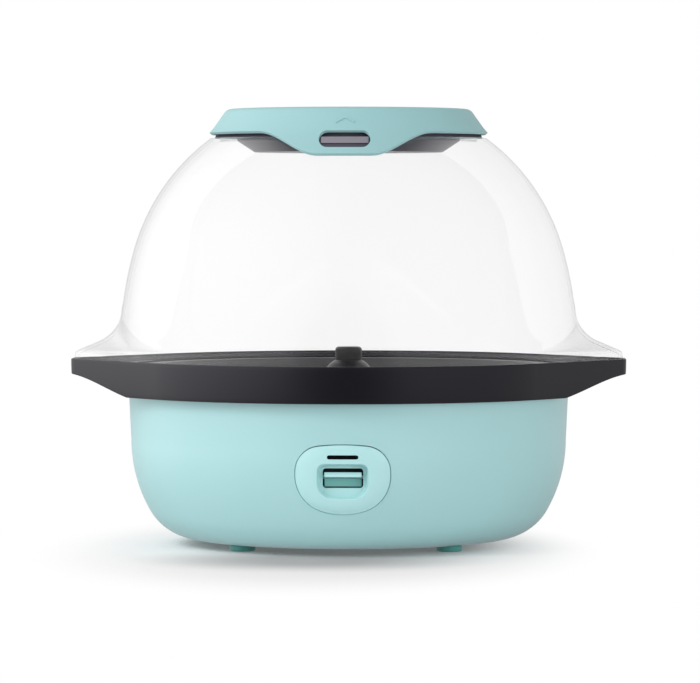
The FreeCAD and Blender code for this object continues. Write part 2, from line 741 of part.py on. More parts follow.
def bracket_studs():
    """Two shouldered studs under the plate that carry the shield and the motor bracket."""
    studs = []
    for side, sign in (("left", -1), ("right", 1)):
        stud = spun(f"bracket_stud_{side}", [
            ("0", "stud_bottom"),
            ("stud_thread", "stud_bottom"),
            ("stud_thread", "shield_z + shield_thick"),
            ("stud_radius", "shield_z + shield_thick"),
            ("stud_radius", PLATE_UNDER),
            ("0", PLATE_UNDER),
        ])
        studs.append(placed(stud, f"{sign} * stud_pitch", "0"))
    return group("bracket_studs", studs)


def motor_bracket():
    """Strap between the studs, with a hole for the shaft."""
    low = "shield_z - bracket_thick"
    strap = prism("motor_bracket", [
        ("-bracket_half", "-bracket_width"),
        ("bracket_half", "-bracket_width"),
        ("bracket_half", "bracket_width"),
        ("-bracket_half", "bracket_width"),
    ], "bracket_thick", level=low)
    holes = [(f"{side} * stud_pitch", "0", "stud_thread + screw_gap") for side in (-1, 1)]
    drill(strap, holes + [("0", "0", "2.5 * shaft_radius")], low, "bracket_thick")
    return strap


def bracket_nuts():
    """Two hexagon nuts under the bracket."""
    low = "shield_z - bracket_thick - nut_height"
    nuts = []
    for side, sign in (("left", -1), ("right", 1)):
        across = "nut_flat / cos(30)"
        corners = [(f"{across} * cos({turn})", f"{across} * sin({turn})") for turn in range(15, 360, 60)]
        nut = prism(f"bracket_nut_{side}", corners, "nut_height", level=low)
        drill(nut, [("0", "0", "stud_thread + running_gap")], low, "nut_height")
        nuts.append(placed(nut, f"{sign} * stud_pitch", "0"))
    return group("bracket_nuts", nuts)


# Geared motor

GEAR_STEP = "(gear_module * (wheel_teeth + pinion_teeth) / 2)"


def gearbox_outline(radius):
    """The gearbox's plan: two equal round ends along Y."""
    return [
        (radius, "0", radius, 1),
        (radius, "gearbox_run"),
        ("0", f"gearbox_run + {radius}", radius, 1),
        (f"-({radius})", "gearbox_run", radius, 1),
        (f"-({radius})", "0"),
        ("0", f"-({radius})", radius, 1),
    ]


def gearbox_cup():
    """Lower half of the gearbox with the shaft's bottom bearing."""
    inside = "(gearbox_radius - gearbox_wall)"
    height = "gearbox_lid - gearbox_floor"
    outer = prism("gearbox_outer", gearbox_outline("gearbox_radius"), height, level="gearbox_floor")
    hollow = prism("gearbox_hollow", gearbox_outline(inside), height, level="gearbox_floor + gearbox_wall")
    step = cylinder("journal_boss", "2 * journal_radius", "2 * gearbox_wall", z="gearbox_floor")
    low, depth = "gearbox_floor - 1", "2 * gearbox_wall + 2"
    bearing = cylinder("journal_bore", "journal_radius + running_gap", depth, z=low)
    pin = cylinder("idler_pin_hole", "idler_pin + seat_gap", depth, "0", GEAR_STEP, low)
    passage = cylinder("rotor_hole", "rotor_shaft + 0.5", depth, "0", f"2 * {GEAR_STEP}", low)
    shell = fuse("gearbox_shell", cut("gearbox_tub", outer, hollow), step)
    return cut("gearbox_cup", shell, bearing, pin, passage)


def gearbox_lid():
    """Flat upper half of the gearbox, against the bracket."""
    lid = prism("gearbox_lid", gearbox_outline("gearbox_radius"), "gearbox_wall", level="gearbox_lid")
    drill(lid, [("0", "0", "shaft_radius + screw_gap")], "gearbox_lid", "gearbox_wall")
    return lid


def idler_pin():
    """Fixed pin that the idler gear turns on."""
    height = "gearbox_lid - gearbox_floor - screw_gap"
    return cylinder("idler_pin_rod", "idler_pin", height, "0", GEAR_STEP, "gearbox_floor")


def gear_outline(teeth, turn):
    """Involute teeth as a closed wire; each flank is sampled from the involute between base and tip."""
    module = value("gear_module")
    pressure = math.radians(value("pressure_angle"))
    pitch = module * teeth / 2
    base, tip, root = pitch * math.cos(pressure), pitch + 0.9 * module, pitch - 1.2 * module
    slack = 0.05 / pitch
    half_tooth = math.pi / (2 * teeth) + math.tan(pressure) - pressure - slack
    flank_radii = [max(base, root) + (tip - max(base, root)) * step / 3 for step in range(4)]
    half_angles = []
    for radius in flank_radii:
        unwound = math.sqrt(max((radius / base) ** 2 - 1, 0))
        half_angles.append(half_tooth - (unwound - math.atan(unwound)))
    tooth = [(root, -half_angles[0])] + [(r, -a) for r, a in zip(flank_radii, half_angles)]
    tooth += [(r, -a) for r, a in reversed(tooth)]
    points = []
    for number in range(teeth):
        middle = 2 * math.pi * number / teeth + math.radians(turn)
        points += [Vector(r * math.cos(middle + a), r * math.sin(middle + a), 0) for r, a in tooth]
    return Part.makePolygon(points + points[:1])


def gear_solid(teeth, low, high, turn):
    """A straight gear between two heights on its own axis."""
    face = Part.Face(gear_outline(int(value(teeth)), turn))
    face.translate(Vector(0, 0, value(low)))
    return face.extrude(Vector(0, 0, value(f"{high} - ({low})")))


def round_bar(radius, low, high):
    """A plain round bar between two heights on the axis."""
    return Part.makeCylinder(value(radius), value(f"{high} - ({low})"), Vector(0, 0, value(low)))


def turned_gear(label, shape, y):
    """A gear as a sub-part on an axis behind the drive shaft."""
    item = doc.addObject("Part::Feature", label)
    item.Label = label
    item.Shape = shape.removeSplitter()
    item.Placement.Base = Vector(0, value(y), 0)
    return item


HALF_TOOTH_TURN = 180 / SIZES["pinion_teeth"]


def output_gear():
    """Wheel on the drive shaft."""
    wheel = gear_solid("wheel_teeth", "wheel_low", "wheel_high", 0)
    bore = round_bar("shaft_radius + seat_gap", "wheel_low", "wheel_high")
    return turned_gear("output_gear", wheel.cut(bore), "0")


def idler_gear():
    """Wheel and pinion in one piece, on the fixed pin."""
    wheel = gear_solid("wheel_teeth", "idler_low", "idler_mid", 0)
    pinion = gear_solid("pinion_teeth", "idler_mid", "idler_high", HALF_TOOTH_TURN)
    bore = round_bar("idler_pin + running_gap", "idler_low", "idler_high")
    return turned_gear("idler_gear", wheel.fuse(pinion).cut(bore), GEAR_STEP)


def motor_rotor():
    """Magnet, shaft and pinion of the motor, in one piece."""
    magnet = round_bar("magnet_radius", "motor_bottom + 2 * gearbox_wall", "magnet_top")
    shaft = round_bar("rotor_shaft", "motor_bottom + gearbox_wall + screw_gap", "pinion_high")
    pinion = gear_solid("pinion_teeth", "pinion_low", "pinion_high", HALF_TOOTH_TURN)
    return turned_gear("motor_rotor", magnet.fuse([shaft, pinion]), f"2 * {GEAR_STEP}")


def motor_can():
    """Steel can of the motor, open in the middle of its top."""
    wall = "gearbox_wall"
    can = spun("motor_can", [
        ("0", "motor_bottom"),
        ("motor_radius", "motor_bottom"),
        ("motor_radius", "gearbox_floor"),
        ("motor_neck", "gearbox_floor"),
        ("motor_neck", f"gearbox_floor - {wall}"),
        (f"motor_radius - {wall}", f"gearbox_floor - {wall}"),
        (f"motor_radius - {wall}", f"motor_bottom + {wall}"),
        ("0", f"motor_bottom + {wall}"),
    ])
    return placed(can, "0", f"2 * {GEAR_STEP}")


def motor_stator():
    """Wound stator ring inside the can."""
    outer = "motor_radius - gearbox_wall - slip_gap"
    low, high = "motor_bottom + gearbox_wall", "stator_top"
    ring = spun("motor_stator", [("stator_inner", low), (outer, low), (outer, high), ("stator_inner", high)])
    return placed(ring, "0", f"2 * {GEAR_STEP}")


def drive_shaft():
    """Shaft from the gearbox up through the plate, with a flat at its top for the stirrer."""
    bar = spun("drive_shaft", [
        ("0", "shaft_bottom"),
        ("journal_radius", "shaft_bottom"),
        ("journal_radius", "journal_top"),
        ("shaft_radius", "journal_top"),
        ("shaft_radius", "shaft_top"),
        ("0", "shaft_top"),
    ])
    flat = new_sketch(bar, "XY_Plane", "shaft_top")
    draw(flat, [
        ("shaft_flat", "-shaft_radius - 1"),
        ("shaft_radius + 1", "-shaft_radius - 1"),
        ("shaft_radius + 1", "shaft_radius + 1"),
        ("shaft_flat", "shaft_radius + 1"),
    ])
    feature(bar, "Pocket", flat, Length="shaft_top - boss_top - 1")
    return bar


# Stirrer

def stirrer_hub():
    """Bell that covers the plate's boss, with a grip on top and a flatted socket for the shaft."""
    bell = spun("hub_bell", [
        ("0", "boss_top + 1"),
        ("hub_cavity", "boss_top + 1"),
        ("hub_cavity", "hub_bottom"),
        ("hub_radius", "hub_bottom"),
        ("hub_radius", "boss_top - 2"),
        ("hub_grip", "boss_top + 6", "hub_grip + 4", 1),
        ("hub_grip", "hub_top - 2"),
        ("hub_grip - 2", "hub_top", "2", 1),
        ("0", "hub_top"),
    ])
    height = "shaft_top - boss_top + 0.5"
    socket = cylinder("hub_socket_round", "shaft_radius + running_gap", height, z="boss_top")
    reach = "shaft_radius + 1"
    low, high = ("shaft_flat + slip_gap", f"-({reach})", "boss_top + 1"), (reach, reach, "shaft_top + 1")
    return cut("stirrer_hub", bell, cut("hub_socket", socket, box("hub_socket_flat", low, high)))


def stir_rod(name, angle):
    """Round wire from the hub along the dish floor, with its end turned up along the dish wall."""
    lift = value("rod_z") - value("dish_floor")
    slope = math.radians(value("dish_slope"))
    arc = value("dish_arc") - lift
    z = value("rod_z")
    start = Vector(value("hub_cavity") + 1, 0, z)
    bend = Vector(value("dish_radius"), 0, z)

    def on_arc(turn):
        return bend + Vector(arc * math.sin(turn), 0, arc * (1 - math.cos(turn)))

    top = on_arc(slope)
    tip = top + Vector(math.cos(slope), 0, math.sin(slope)) * value("rod_tip_run")
    path = Part.Wire([
        Part.LineSegment(start, bend).toShape(),
        Part.Arc(bend, on_arc(slope / 2), top).toShape(),
        Part.LineSegment(top, tip).toShape(),
    ])
    section = Part.Wire([Part.makeCircle(value("rod_radius"), start, Vector(1, 0, 0))])
    rod = doc.addObject("Part::Feature", name)
    rod.Label = name
    rod.Shape = path.makePipeShell([section], True, False)
    rod.Placement = FreeCAD.Placement(Vector(0, 0, 0), FreeCAD.Rotation(Vector(0, 0, 1), angle))
    return rod


# Dome and what sits on it

def dome_form(label, inset, low, high):
    """A solid of the dome's round form, with its wall moved inwards by an inset."""
    crown, side = f"(crown_arc - ({inset}))", f"(dome_side_arc - ({inset}))"
    side_x = "(crown_x - (dome_side_arc - crown_arc) * cos(crown_join))"
    side_z = "(crown_z - (dome_side_arc - crown_arc) * sin(crown_join))"
    join = (f"{side_x} + {side} * cos(crown_join)", f"{side_z} + {side} * sin(crown_join)")
    return spun(label, [
        ("0", low),
        (f"{side_x} + {side}", low),
        (f"{side_x} + {side}", side_z),
        (*join, side, 1),
        (f"crown_x + sqrt({crown}^2 - ({high} - crown_z)^2)", high, crown, 1),
        ("0", high),
    ])


def flare_form(label, inset):
    """A solid under the brim's roof: a gentle cone with a cove up to the wall, moved inwards by an inset."""
    cove = f"(cove_arc + ({inset}))"
    roof = (f"cove_x - {cove} * sin(roof_slope)", f"cove_top - {cove} * cos(roof_slope)")
    floor = "brim_bottom - 2"
    return spun(label, [
        ("dome_hole", floor),
        ("tip_reach", floor),
        ("tip_reach", f"{roof[1]} - (tip_reach - ({roof[0]})) * tan(roof_slope)"),
        roof,
        (f"cove_x - {cove}", "cove_top", cove, -1),
        ("dome_hole", "cove_top"),
    ])


def brim_form(label, inset, low, edge):
    """A solid of the brim's plan: an upright edge, then bevelled sides that fade into the dome's wall."""
    body = new_body(label)
    top = "cove_top"
    levels = (
        (low, inset, "tip_corner"),
        (edge, inset, "tip_corner"),
        (top, f"{inset} + ({top} - {edge}) / tan(brim_bevel)", "tip_corner / 5"),
    )
    sections = []
    for level, level_inset, corner in levels:
        sketch = new_sketch(body, "XY_Plane", level)
        draw(sketch, lemon(level_inset, corner))
        sections.append(sketch)
    loft = feature(body, "AdditiveLoft", sections[0])
    loft.Sections = sections[1:]
    loft.Ruled = True
    return body


def dome_bowl():
    """Clear dome with a brim that nests in the ring and a ledge round its top opening."""
    inner_inset = "(brim_inset + dome_wall)"
    inner_edge = "(brim_top + dome_wall * tan(brim_bevel) - dome_wall / cos(brim_bevel))"
    brim_out = brim_form("brim_outer", "brim_inset", "brim_bottom", "brim_top")
    brim_in = brim_form("brim_inner", inner_inset, "brim_bottom - 1", inner_edge)
    outside = fuse(
        "dome_outside",
        dome_form("dome_outer", "0", "brim_bottom", "dome_top"),
        common("roof_outer", brim_out, flare_form("flare_outer", "0")),
    )
    inside = fuse(
        "dome_inside",
        dome_form("dome_inner", "dome_wall", "brim_bottom - 1", "dome_top - dome_wall"),
        common("roof_inner", brim_in, flare_form("flare_inner", "dome_wall")),
        cylinder("dome_top_hole", "dome_hole", "20", z="dome_top - 10"),
    )
    return cut("dome_bowl", outside, inside)


def vent_tray():
    """Dark tray that hangs in the dome's top opening, with rows of vent holes in its floor."""
    flange = "dome_top + tray_wall"
    tray = spun("vent_tray", [
        ("0", "well_bottom"),
        ("well_floor", "well_bottom"),
        ("well_top", "well_top_z"),
        ("well_top", "dome_top"),
        ("tray_rim", "dome_top"),
        ("tray_rim_top", "tray_top"),
        ("tray_rim_top - tray_wall", "tray_top"),
        ("tray_rim_top - tray_wall", flange),
        ("well_top - tray_wall + 0.4", flange),
        ("well_top - tray_wall", "well_top_z"),
        ("well_floor - 1", "well_bottom + tray_wall"),
        ("0", "well_bottom + tray_wall"),
    ])
    holes = []
    for pitch, count in ((14, 6), (28, 12), (42, 18)):
        angles = [360 * number / count for number in range(count)]
        holes += [(x, y, "2") for x, y in ring_places(pitch, angles)]
    drill(tray, holes, "well_bottom", "tray_wall")
    return tray


def cap_catch():
    """Catch behind the cap's slot: a plate on the dome that follows the inside of the cap's tab."""
    front = ("-catch_half", "-tab_reach", "catch_low")
    block = box("catch_block", front, ("catch_half", "-catch_back", "catch_high"))
    low, high = "tab_bottom", "cap_rim_z"
    under = spun("catch_room", [
        ("0", low),
        (f"{tab_inside(low)} - catch_gap", low),
        (f"{tab_inside(high)} - catch_gap", high),
        ("0", high),
    ])
    seat = dome_form("catch_seat", "-running_gap", "brim_bottom", "dome_top")
    return cut("cap_catch", common("catch_plate", block, under), seat)


def hinge_bracket():
    """Base and two ears on the back of the dome that hold the hinge pin."""
    out = "knuckle_half + ear_gap + ear_thick"
    back = "hinge_y + knuckle"
    base = box("hinge_base", (f"-({out})", "hinge_front", "hinge_low"), (out, back, "dome_top"))
    parts = [base]
    for side, sign in (("left", -1), ("right", 1)):
        near, far = (f"{sign} * (knuckle_half + ear_gap)", f"{sign} * ({out})")
        low, high = (far, near) if sign < 0 else (near, far)
        front = (low, "hinge_y - knuckle", "hinge_low")
        parts.append(box(f"hinge_web_{side}", front, (high, back, "hinge_z")))
        parts.append(cylinder(f"hinge_ear_{side}", "knuckle", "ear_thick", low, *HINGE_AXIS, lie="X"))
    seat = dome_form("hinge_seat", "-running_gap", "brim_bottom", "dome_top")
    bore = along_x("hinge_bore", "hinge_pin + seat_gap", f"{out} + 1", HINGE_AXIS)
    return cut("hinge_bracket", fuse("hinge_blank", *parts), seat, bore)


def hinge_pin():
    """Pin through the ears and the cap's knuckle."""
    return along_x("hinge_pin_rod", "hinge_pin", "knuckle_half + ear_gap + ear_thick", HINGE_AXIS)


HINGE_AXIS = ("hinge_y", "hinge_z")
CAP_SIDE = "(cap_wall / cos(cap_slant))"
TAB_FLARE = "((tab_reach - cap_wall - cap_rim + cap_wall / cos(cap_slant)) / (cap_rim_z - tab_bottom))"


def tab_inside(z):
    """Radius of the tab's inner face at a height."""
    return f"(cap_rim - {CAP_SIDE} + (cap_rim_z - ({z})) * {TAB_FLARE})"


def tab_front():
    """Front outline of the cap's tab: S-curved sides down to a short flat edge."""
    bend_x, bend_z = "(tab_flat + tab_root) / 2", "(tab_bottom + cap_rim_z) / 2"
    return mirrored([
        ("tab_flat", "tab_bottom"),
        (bend_x, bend_z, "tab_arc * 1.4", 1),
        ("tab_root", "cap_rim_z", "tab_arc * 1.4", -1),
        ("tab_root", "cap_rim_z + 3"),
    ])


def top_cap():
    """Shallow frustum cap with a tab at the front, a slot for the catch and a hinge knuckle at the back."""
    lean = "tan(cap_slant)"
    edge = f"(cap_rim - (cap_top - cap_rim_z) * {lean})"
    run = "(cap_round * tan((90 - cap_slant) / 2))"
    under = "cap_top - cap_wall"
    shell = spun("cap_shell", [
        ("0", under),
        (f"{edge} - {CAP_SIDE} + cap_wall * {lean}", under),
        (f"cap_rim - {CAP_SIDE}", "cap_rim_z"),
        ("cap_rim", "cap_rim_z"),
        (f"{edge} + {run} * sin(cap_slant)", f"cap_top - {run} * cos(cap_slant)"),
        (f"{edge} - {run}", "cap_top", "cap_round", 1),
        ("0", "cap_top"),
    ])
    skirt = spun("tab_skirt", [
        (tab_inside("tab_bottom"), "tab_bottom"),
        ("tab_reach", "tab_bottom"),
        ("cap_rim", "cap_rim_z"),
        (f"cap_rim - {lean}", "cap_rim_z + 1"),
        (f"cap_rim - {CAP_SIDE} - {lean}", "cap_rim_z + 1"),
        (f"cap_rim - {CAP_SIDE}", "cap_rim_z"),
    ])
    depth = ("tab_reach + 5", "tab_root")
    tab = common("cap_tab", skirt, front_prism("tab_face", tab_front(), *depth))
    knuckle = along_x("cap_knuckle", "knuckle", "knuckle_half", HINGE_AXIS)
    inner = ("-knuckle_half", f"cap_rim - {CAP_SIDE}", "cap_rim_z")
    web = box("knuckle_web", inner, ("knuckle_half", "hinge_y", "hinge_z + 2"))
    slot = front_prism("catch_slot", stadium("slot_half", "slot_height", "slot_z"), *depth)
    bore = along_x("knuckle_bore", "hinge_pin + running_gap", "knuckle_half + 1", HINGE_AXIS)
    return cut("top_cap", fuse("cap_blank", shell, tab, knuckle, web), slot, bore)


# Controls on the front

def control_bezel():
    """Insert in the housing's front with a recess, a switch window and a slot for the lamp lens."""
    near, far = BEZEL_DEPTH
    flush = bowl("bezel_surface", "bezel_proud")
    behind = bowl("bezel_behind", "-bezel_thick")
    plug = common("bezel_plug", front_prism("bezel_prism", egg("0"), near, far), flush)
    face = cut("bezel_face", plug, behind)
    wall = front_prism("flange_prism", egg("bezel_flange"), near, far)
    inside = bowl("flange_surface", "-housing_wall - slip_gap")
    flange = cut("bezel_flange_ring", common("flange_plug", wall, inside), behind)
    panel = ("recess_half", "recess_low", "recess_high", "recess_lower", "recess_upper")
    back = "recess_floor - recess_plate"
    pan = front_prism("recess_pan", rounded_panel(*panel, spread="recess_wall"), near, back)
    pan_in = common("recess_pan_inside", pan, bowl("recess_surface", "0"))
    recess = front_prism("recess_hollow", rounded_panel(*panel), near, "recess_floor")
    opening = ("window_half", "window_low", "window_high", "window_corner", "window_corner")
    window = front_prism("switch_window", rounded_panel(*opening), near, f"{back} - 5")
    lamp = front_prism("lamp_slot", stadium("lamp_half", "lamp_height", "lamp_z"), near, far)
    return cut("control_bezel", fuse("bezel_blank", face, flange, pan_in), recess, window, lamp)


LENS_BACK = "(shoulder_radius - 2 * bezel_thick)"


def lamp_lens():
    """Dark lens in the bezel's slot."""
    outline = stadium("lamp_half", "lamp_height", "lamp_z", "slip_gap")
    light = front_prism("lens_prism", outline, "shoulder_radius + 5", LENS_BACK)
    return common("lamp_lens", light, bowl("lens_surface", "slip_gap"))


def indicator_lamp():
    """Small lamp behind the lens."""
    front = f"-{LENS_BACK} + screw_gap"
    return cylinder("indicator_bulb", "bulb_radius", "bulb_length", "0", front, "lamp_z", lie="Y")


ROCKER_AXIS = ("-rocker_y", "rocker_z")


def rocker():
    """Rocker with a raised ridge on a round barrel, turned on a pin along X."""
    def at(angle):
        return f"-rocker_y + barrel * cos({angle})", f"rocker_z + barrel * sin({angle})"

    ridge_y, ridge_z = "-rocker_y - ridge_reach", "rocker_z + 0.2"
    outline = [
        (f"{ridge_y} + 0.45", f"{ridge_z} - 0.75"),
        at(240),
        (*at(0), "barrel", 1),
        (*at(125), "barrel", 1),
        (f"{ridge_y} + 0.5", f"{ridge_z} + 0.6"),
    ]
    outline[0] = (*outline[0], "0.8", 1)
    body = prism("rocker_blank", outline, "2 * rocker_half", "YZ_Plane", "-rocker_half")
    bore = along_x("rocker_bore", "rocker_pin + running_gap", "rocker_half + 1", ROCKER_AXIS)
    return cut("rocker", body, bore)


def rocker_pin():
    """Pin that the rocker tilts on."""
    return along_x("rocker_pin_rod", "rocker_pin", "switch_half - 1", ROCKER_AXIS)


def switch_body():
    """Switch case behind the bezel, hollow at its front for the rocker."""
    case_front = ("-switch_half", "-(recess_floor - recess_plate) + slip_gap", "switch_low")
    case = box("switch_case", case_front, ("switch_half", "-switch_back", "switch_high"))
    room_low = ("-window_half", "-recess_floor", "rocker_z - barrel - switch_room")
    room_high = ("window_half", "-rocker_y + barrel + switch_room", "rocker_z + barrel + switch_room")
    room = box("rocker_room", room_low, room_high)
    bore = along_x("switch_bore", "rocker_pin + seat_gap", "switch_half + 1", ROCKER_AXIS)
    tabs = []
    for count, side in enumerate((-1, 0, 1), start=1):
        x = f"{side} * switch_half / 2"
        low = (f"{x} - 0.4", "-switch_back", "rocker_z - 3")
        tabs.append(box(f"switch_tab_{count}", low, (f"{x} + 0.4", "-switch_back + 8", "rocker_z + 3")))
    return fuse("switch_body", cut("switch_shell", case, room, bore), *tabs)


# Assembly

def collect():
    """Build every sub-part and name its node."""
    nodes["base_housing"] = base_housing()
    for depth, y in (("front", -1), ("rear", 1)):
        for side, x in (("left", -1), ("right", 1)):
            name = f"foot_{depth}_{side}"
            nodes[name] = foot(name, x, y)
    for builder in (
        bottom_cover, cover_screws, tie_posts, tie_screws, cord_gland, handle_ring,
        heating_plate, plate_gasket, shaft_bush, heating_element, element_clips, thermostat, thermal_fuse,
        heat_shield, bracket_studs, motor_bracket, bracket_nuts,
        gearbox_cup, gearbox_lid, idler_pin, motor_can, motor_stator,
        drive_shaft, output_gear, idler_gear, motor_rotor, stirrer_hub,
        dome_bowl, vent_tray, cap_catch, hinge_bracket, hinge_pin, top_cap,
        control_bezel, lamp_lens, indicator_lamp, rocker, rocker_pin, switch_body,
    ):
        nodes[builder.__name__] = builder()
    nodes["stir_rod_left"] = stir_rod("stir_rod_left", 180)
    nodes["stir_rod_right"] = stir_rod("stir_rod_right", 0)


def check_and_write():
    """Stop at any failed object or bad shape, then write each sub-part."""
    doc.recompute()
    failed = [item.Label for item in doc.Objects if {"Invalid", "Error"} & set(item.State)]
    if failed:
        raise RuntimeError(f"failed objects: {failed}")
    for name, item in nodes.items():
        if item.Shape.isNull() or not item.Shape.isValid() or not item.Shape.Solids:
            raise RuntimeError(f"bad shape: {name}")
        item.Label = name
    os.makedirs("parts", exist_ok=True)
    for name, item in nodes.items():
        item.Shape.exportStep(os.path.join("parts", f"{name}.step"))
        print(f"{name}: {len(item.Shape.Solids)} solid, {item.Shape.Volume / 1000:.2f} cm3")


collect()
check_and_write()
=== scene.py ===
"""Looks of a stirring corn popper: satin teal mouldings, a black handle ring and a clear dome."""
import json
import math

import bmesh
import bpy
import numpy as np
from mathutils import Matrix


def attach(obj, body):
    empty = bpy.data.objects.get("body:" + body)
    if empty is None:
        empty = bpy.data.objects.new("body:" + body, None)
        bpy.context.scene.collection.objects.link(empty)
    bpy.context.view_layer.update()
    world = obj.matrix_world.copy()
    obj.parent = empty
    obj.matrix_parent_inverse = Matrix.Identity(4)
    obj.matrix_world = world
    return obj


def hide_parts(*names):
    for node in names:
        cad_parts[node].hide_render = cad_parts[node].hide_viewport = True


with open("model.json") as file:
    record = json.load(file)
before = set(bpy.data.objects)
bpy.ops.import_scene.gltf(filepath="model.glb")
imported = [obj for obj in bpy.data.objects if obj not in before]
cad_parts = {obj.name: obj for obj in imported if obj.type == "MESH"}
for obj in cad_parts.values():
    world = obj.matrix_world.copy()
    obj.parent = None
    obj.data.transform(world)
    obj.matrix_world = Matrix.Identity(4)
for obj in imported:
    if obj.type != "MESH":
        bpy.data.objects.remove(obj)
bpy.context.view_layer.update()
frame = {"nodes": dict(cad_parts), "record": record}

MM = 0.001
FLOOR_RADIUS = 1.6
WHITE = (1, 1, 1, 1)
PLAN_COLUMNS = 480

# The sizes that follow are in millimetres and the angles in radians

# Handle ring
RING_RADIUS, RING_TOP, RING_BOTTOM, RING_CROWN = 139.2, 111.0, 89.7, 0.005
TIP_REACH, TANGENT_ANGLE, TIP_CORNER, TIP_THICK = 166.2, math.radians(36.91), 8.0, 9.1
LUG_ROOT, LUG_LEAVE, LUG_ARRIVE, RING_HOLE = 129.0, 0.30, 0.12, 121.0
DECK_Z, DECK_RADIUS, BRIM_SEAT, LIP_INSET = 104.0, 131.0, 107.7, 1.75
GROOVE_INNER, GROOVE_OUTER, GROOVE_TOP = 123.5, 132.2, 99.0
UNDER_ROUND, LIP_ROUND, SEAT_ROUND, DECK_ROUND = 0.6, 0.5, 0.3, 0.4

# Dome
BRIM_INSET, BRIM_BOTTOM, BRIM_EDGE, DOME_WALL = 2.15, 108.0, 112.0, 2.2
DOME_TOP, DOME_HOLE, DOME_SIDE_ARC = 242.8, 77.0, 224.31
CROWN_ARC, CROWN_X, CROWN_Z, CROWN_JOIN = 124.28, 8.91, 142.69, math.radians(15.99)
ROOF_SLOPE, ROOF_ROUND, COVE_ARC, COVE_X, COVE_TOP = math.radians(23), 3.2, 22.0, 157.8, 141.8
LUG_HAZE = 6.0

# Housing
FOOT_HEIGHT, SHOULDER_RADIUS, HOUSING_DRAFT, HOUSING_RIM_Z, HOUSING_WALL = 3.5, 130.35, 1.29, 98.5, 2.5
SIDE_ARC, HEEL_ARC, SIDE_SWEEP, COVER_RADIUS = 85.5, 33.3, math.radians(29.57), 76.4
BOWL_FRONT, FRONT_LOW, FRONT_HIGH = 0.34, 17.0, 76.0

# Cap, with its tab, slot, mark and hinge
CAP_TOP, CAP_RIM_Z, CAP_RIM, CAP_SLANT, CAP_ROUND, CAP_WALL = 260.2, 246.1, 82.8, math.radians(35.1), 5.0, 2.0
TAB_BOTTOM, TAB_REACH, TAB_ROOT, TAB_FLAT, TAB_BEND, CAP_FRONT = 232.7, 98.4, 51.0, 16.0, 5.0, 0.36
SLOT_HALF, SLOT_HEIGHT, SLOT_Z = 15.0, 9.8, 241.3
MARK_Z, MARK_HALF, MARK_RISE, MARK_WIDTH, MARK_SUNK, MARK_PROUD = 252.8, 5.6, 3.2, 1.5, -0.4, 0.6
HINGE_Y, HINGE_Z, KNUCKLE, KNUCKLE_HALF = 88.0, 246.5, 3.2, 9.0
WEB_INSET, WEB_RISE, WEB_LIFT = 2.4, 2.0, 0.1

# Catch behind the tab's slot
LATCH_HALF, LATCH_LOW, LATCH_HIGH, LATCH_GAP, LATCH_THICK = 16.0, 235.8, 242.8, 0.1, 0.25
HOOK_HALF, HOOK_LOW, HOOK_HIGH, HOOK_TOP_REACH, HOOK_LOW_REACH = 13.9, 238.7, 242.5, 85.4, 89.0

# Control bezel, with its recess, switch window, lamp and rocker
BEZEL_HALF, BEZEL_MID, BEZEL_SIDE, BEZEL_HIGH, BEZEL_LOW = 27.2, 50.6, 48.3, 66.1, 25.9
BEZEL_UPPER, BEZEL_LOWER, BEZEL_PROUD, BEZEL_GAP = 14.85, 21.5, 0.2, 0.35
BEZEL_SWELL, BEZEL_UPRIGHT, BEZEL_FLATNESS, BEZEL_ROUND, BEZEL_DEPTH = 1.3, 0.3, 7, 0.7, 3.4
BEZEL_HUB, BEZEL_SPLIT = np.array([0, 47.1]), 57.0
RECESS_HALF, RECESS_LOW, RECESS_HIGH, RECESS_FLOOR = 15.2, 34.7, 55.8, 124.0
RECESS_CORNERS, PAN_CORNERS, RECESS_RUN, RECESS_LOW_RUN = (9.5, 4.6), (7.2, 2.9), 2.3, 2.6
WINDOW_HALF, WINDOW_LOW, WINDOW_HIGH, WINDOW_ROUND, WINDOW_WALL = 11.6, 41.2, 52.5, 1.8, 4.0
LAMP_HALF, LAMP_HEIGHT, LAMP_Z, LAMP_WALL, LENS_GAP, LENS_WALL = 9.0, 2.4, 59.2, 2.5, 0.1, 3.0
ROCKER_HALF, ROCKER_Y, ROCKER_Z = 10.7, 120.4, 47.4


# Shader nodes

def bare_tree(holder):
    """The emptied node tree of a material or a world."""
    holder.use_nodes = True
    holder.node_tree.nodes.clear()
    return holder.node_tree


def add_node(tree, kind, values=None, **settings):
    """A node with its settings and the plain values of its inputs."""
    item = tree.nodes.new(f"ShaderNode{kind}")
    for key, setting in settings.items():
        setattr(item, key, setting)
    for key, number in (values or {}).items():
        item.inputs[key].default_value = number
    return item


def work_out(tree, operation, *terms):
    """The number that an operation makes of other nodes' numbers and plain ones."""
    item = add_node(tree, "Math", operation=operation)
    for socket, term in zip(item.inputs, terms):
        if isinstance(term, bpy.types.NodeSocket):
            tree.links.new(term, socket)
        else:
            socket.default_value = term
    return item.outputs[0]


def ramp(tree, source, low, high, first, last, change="SMOOTHSTEP"):
    """A number that goes from first to last while its source goes from low to high."""
    item = add_node(tree, "MapRange", {"From Min": low, "From Max": high, "To Min": first, "To Max": last},
                    interpolation_type=change)
    tree.links.new(source, item.inputs["Value"])
    return item.outputs["Result"]


def either_ray(tree, first, second):
    """One for either of two kinds of ray, nought for the others."""
    path = add_node(tree, "LightPath")
    return work_out(tree, "MAXIMUM", path.outputs[f"Is {first} Ray"], path.outputs[f"Is {second} Ray"])


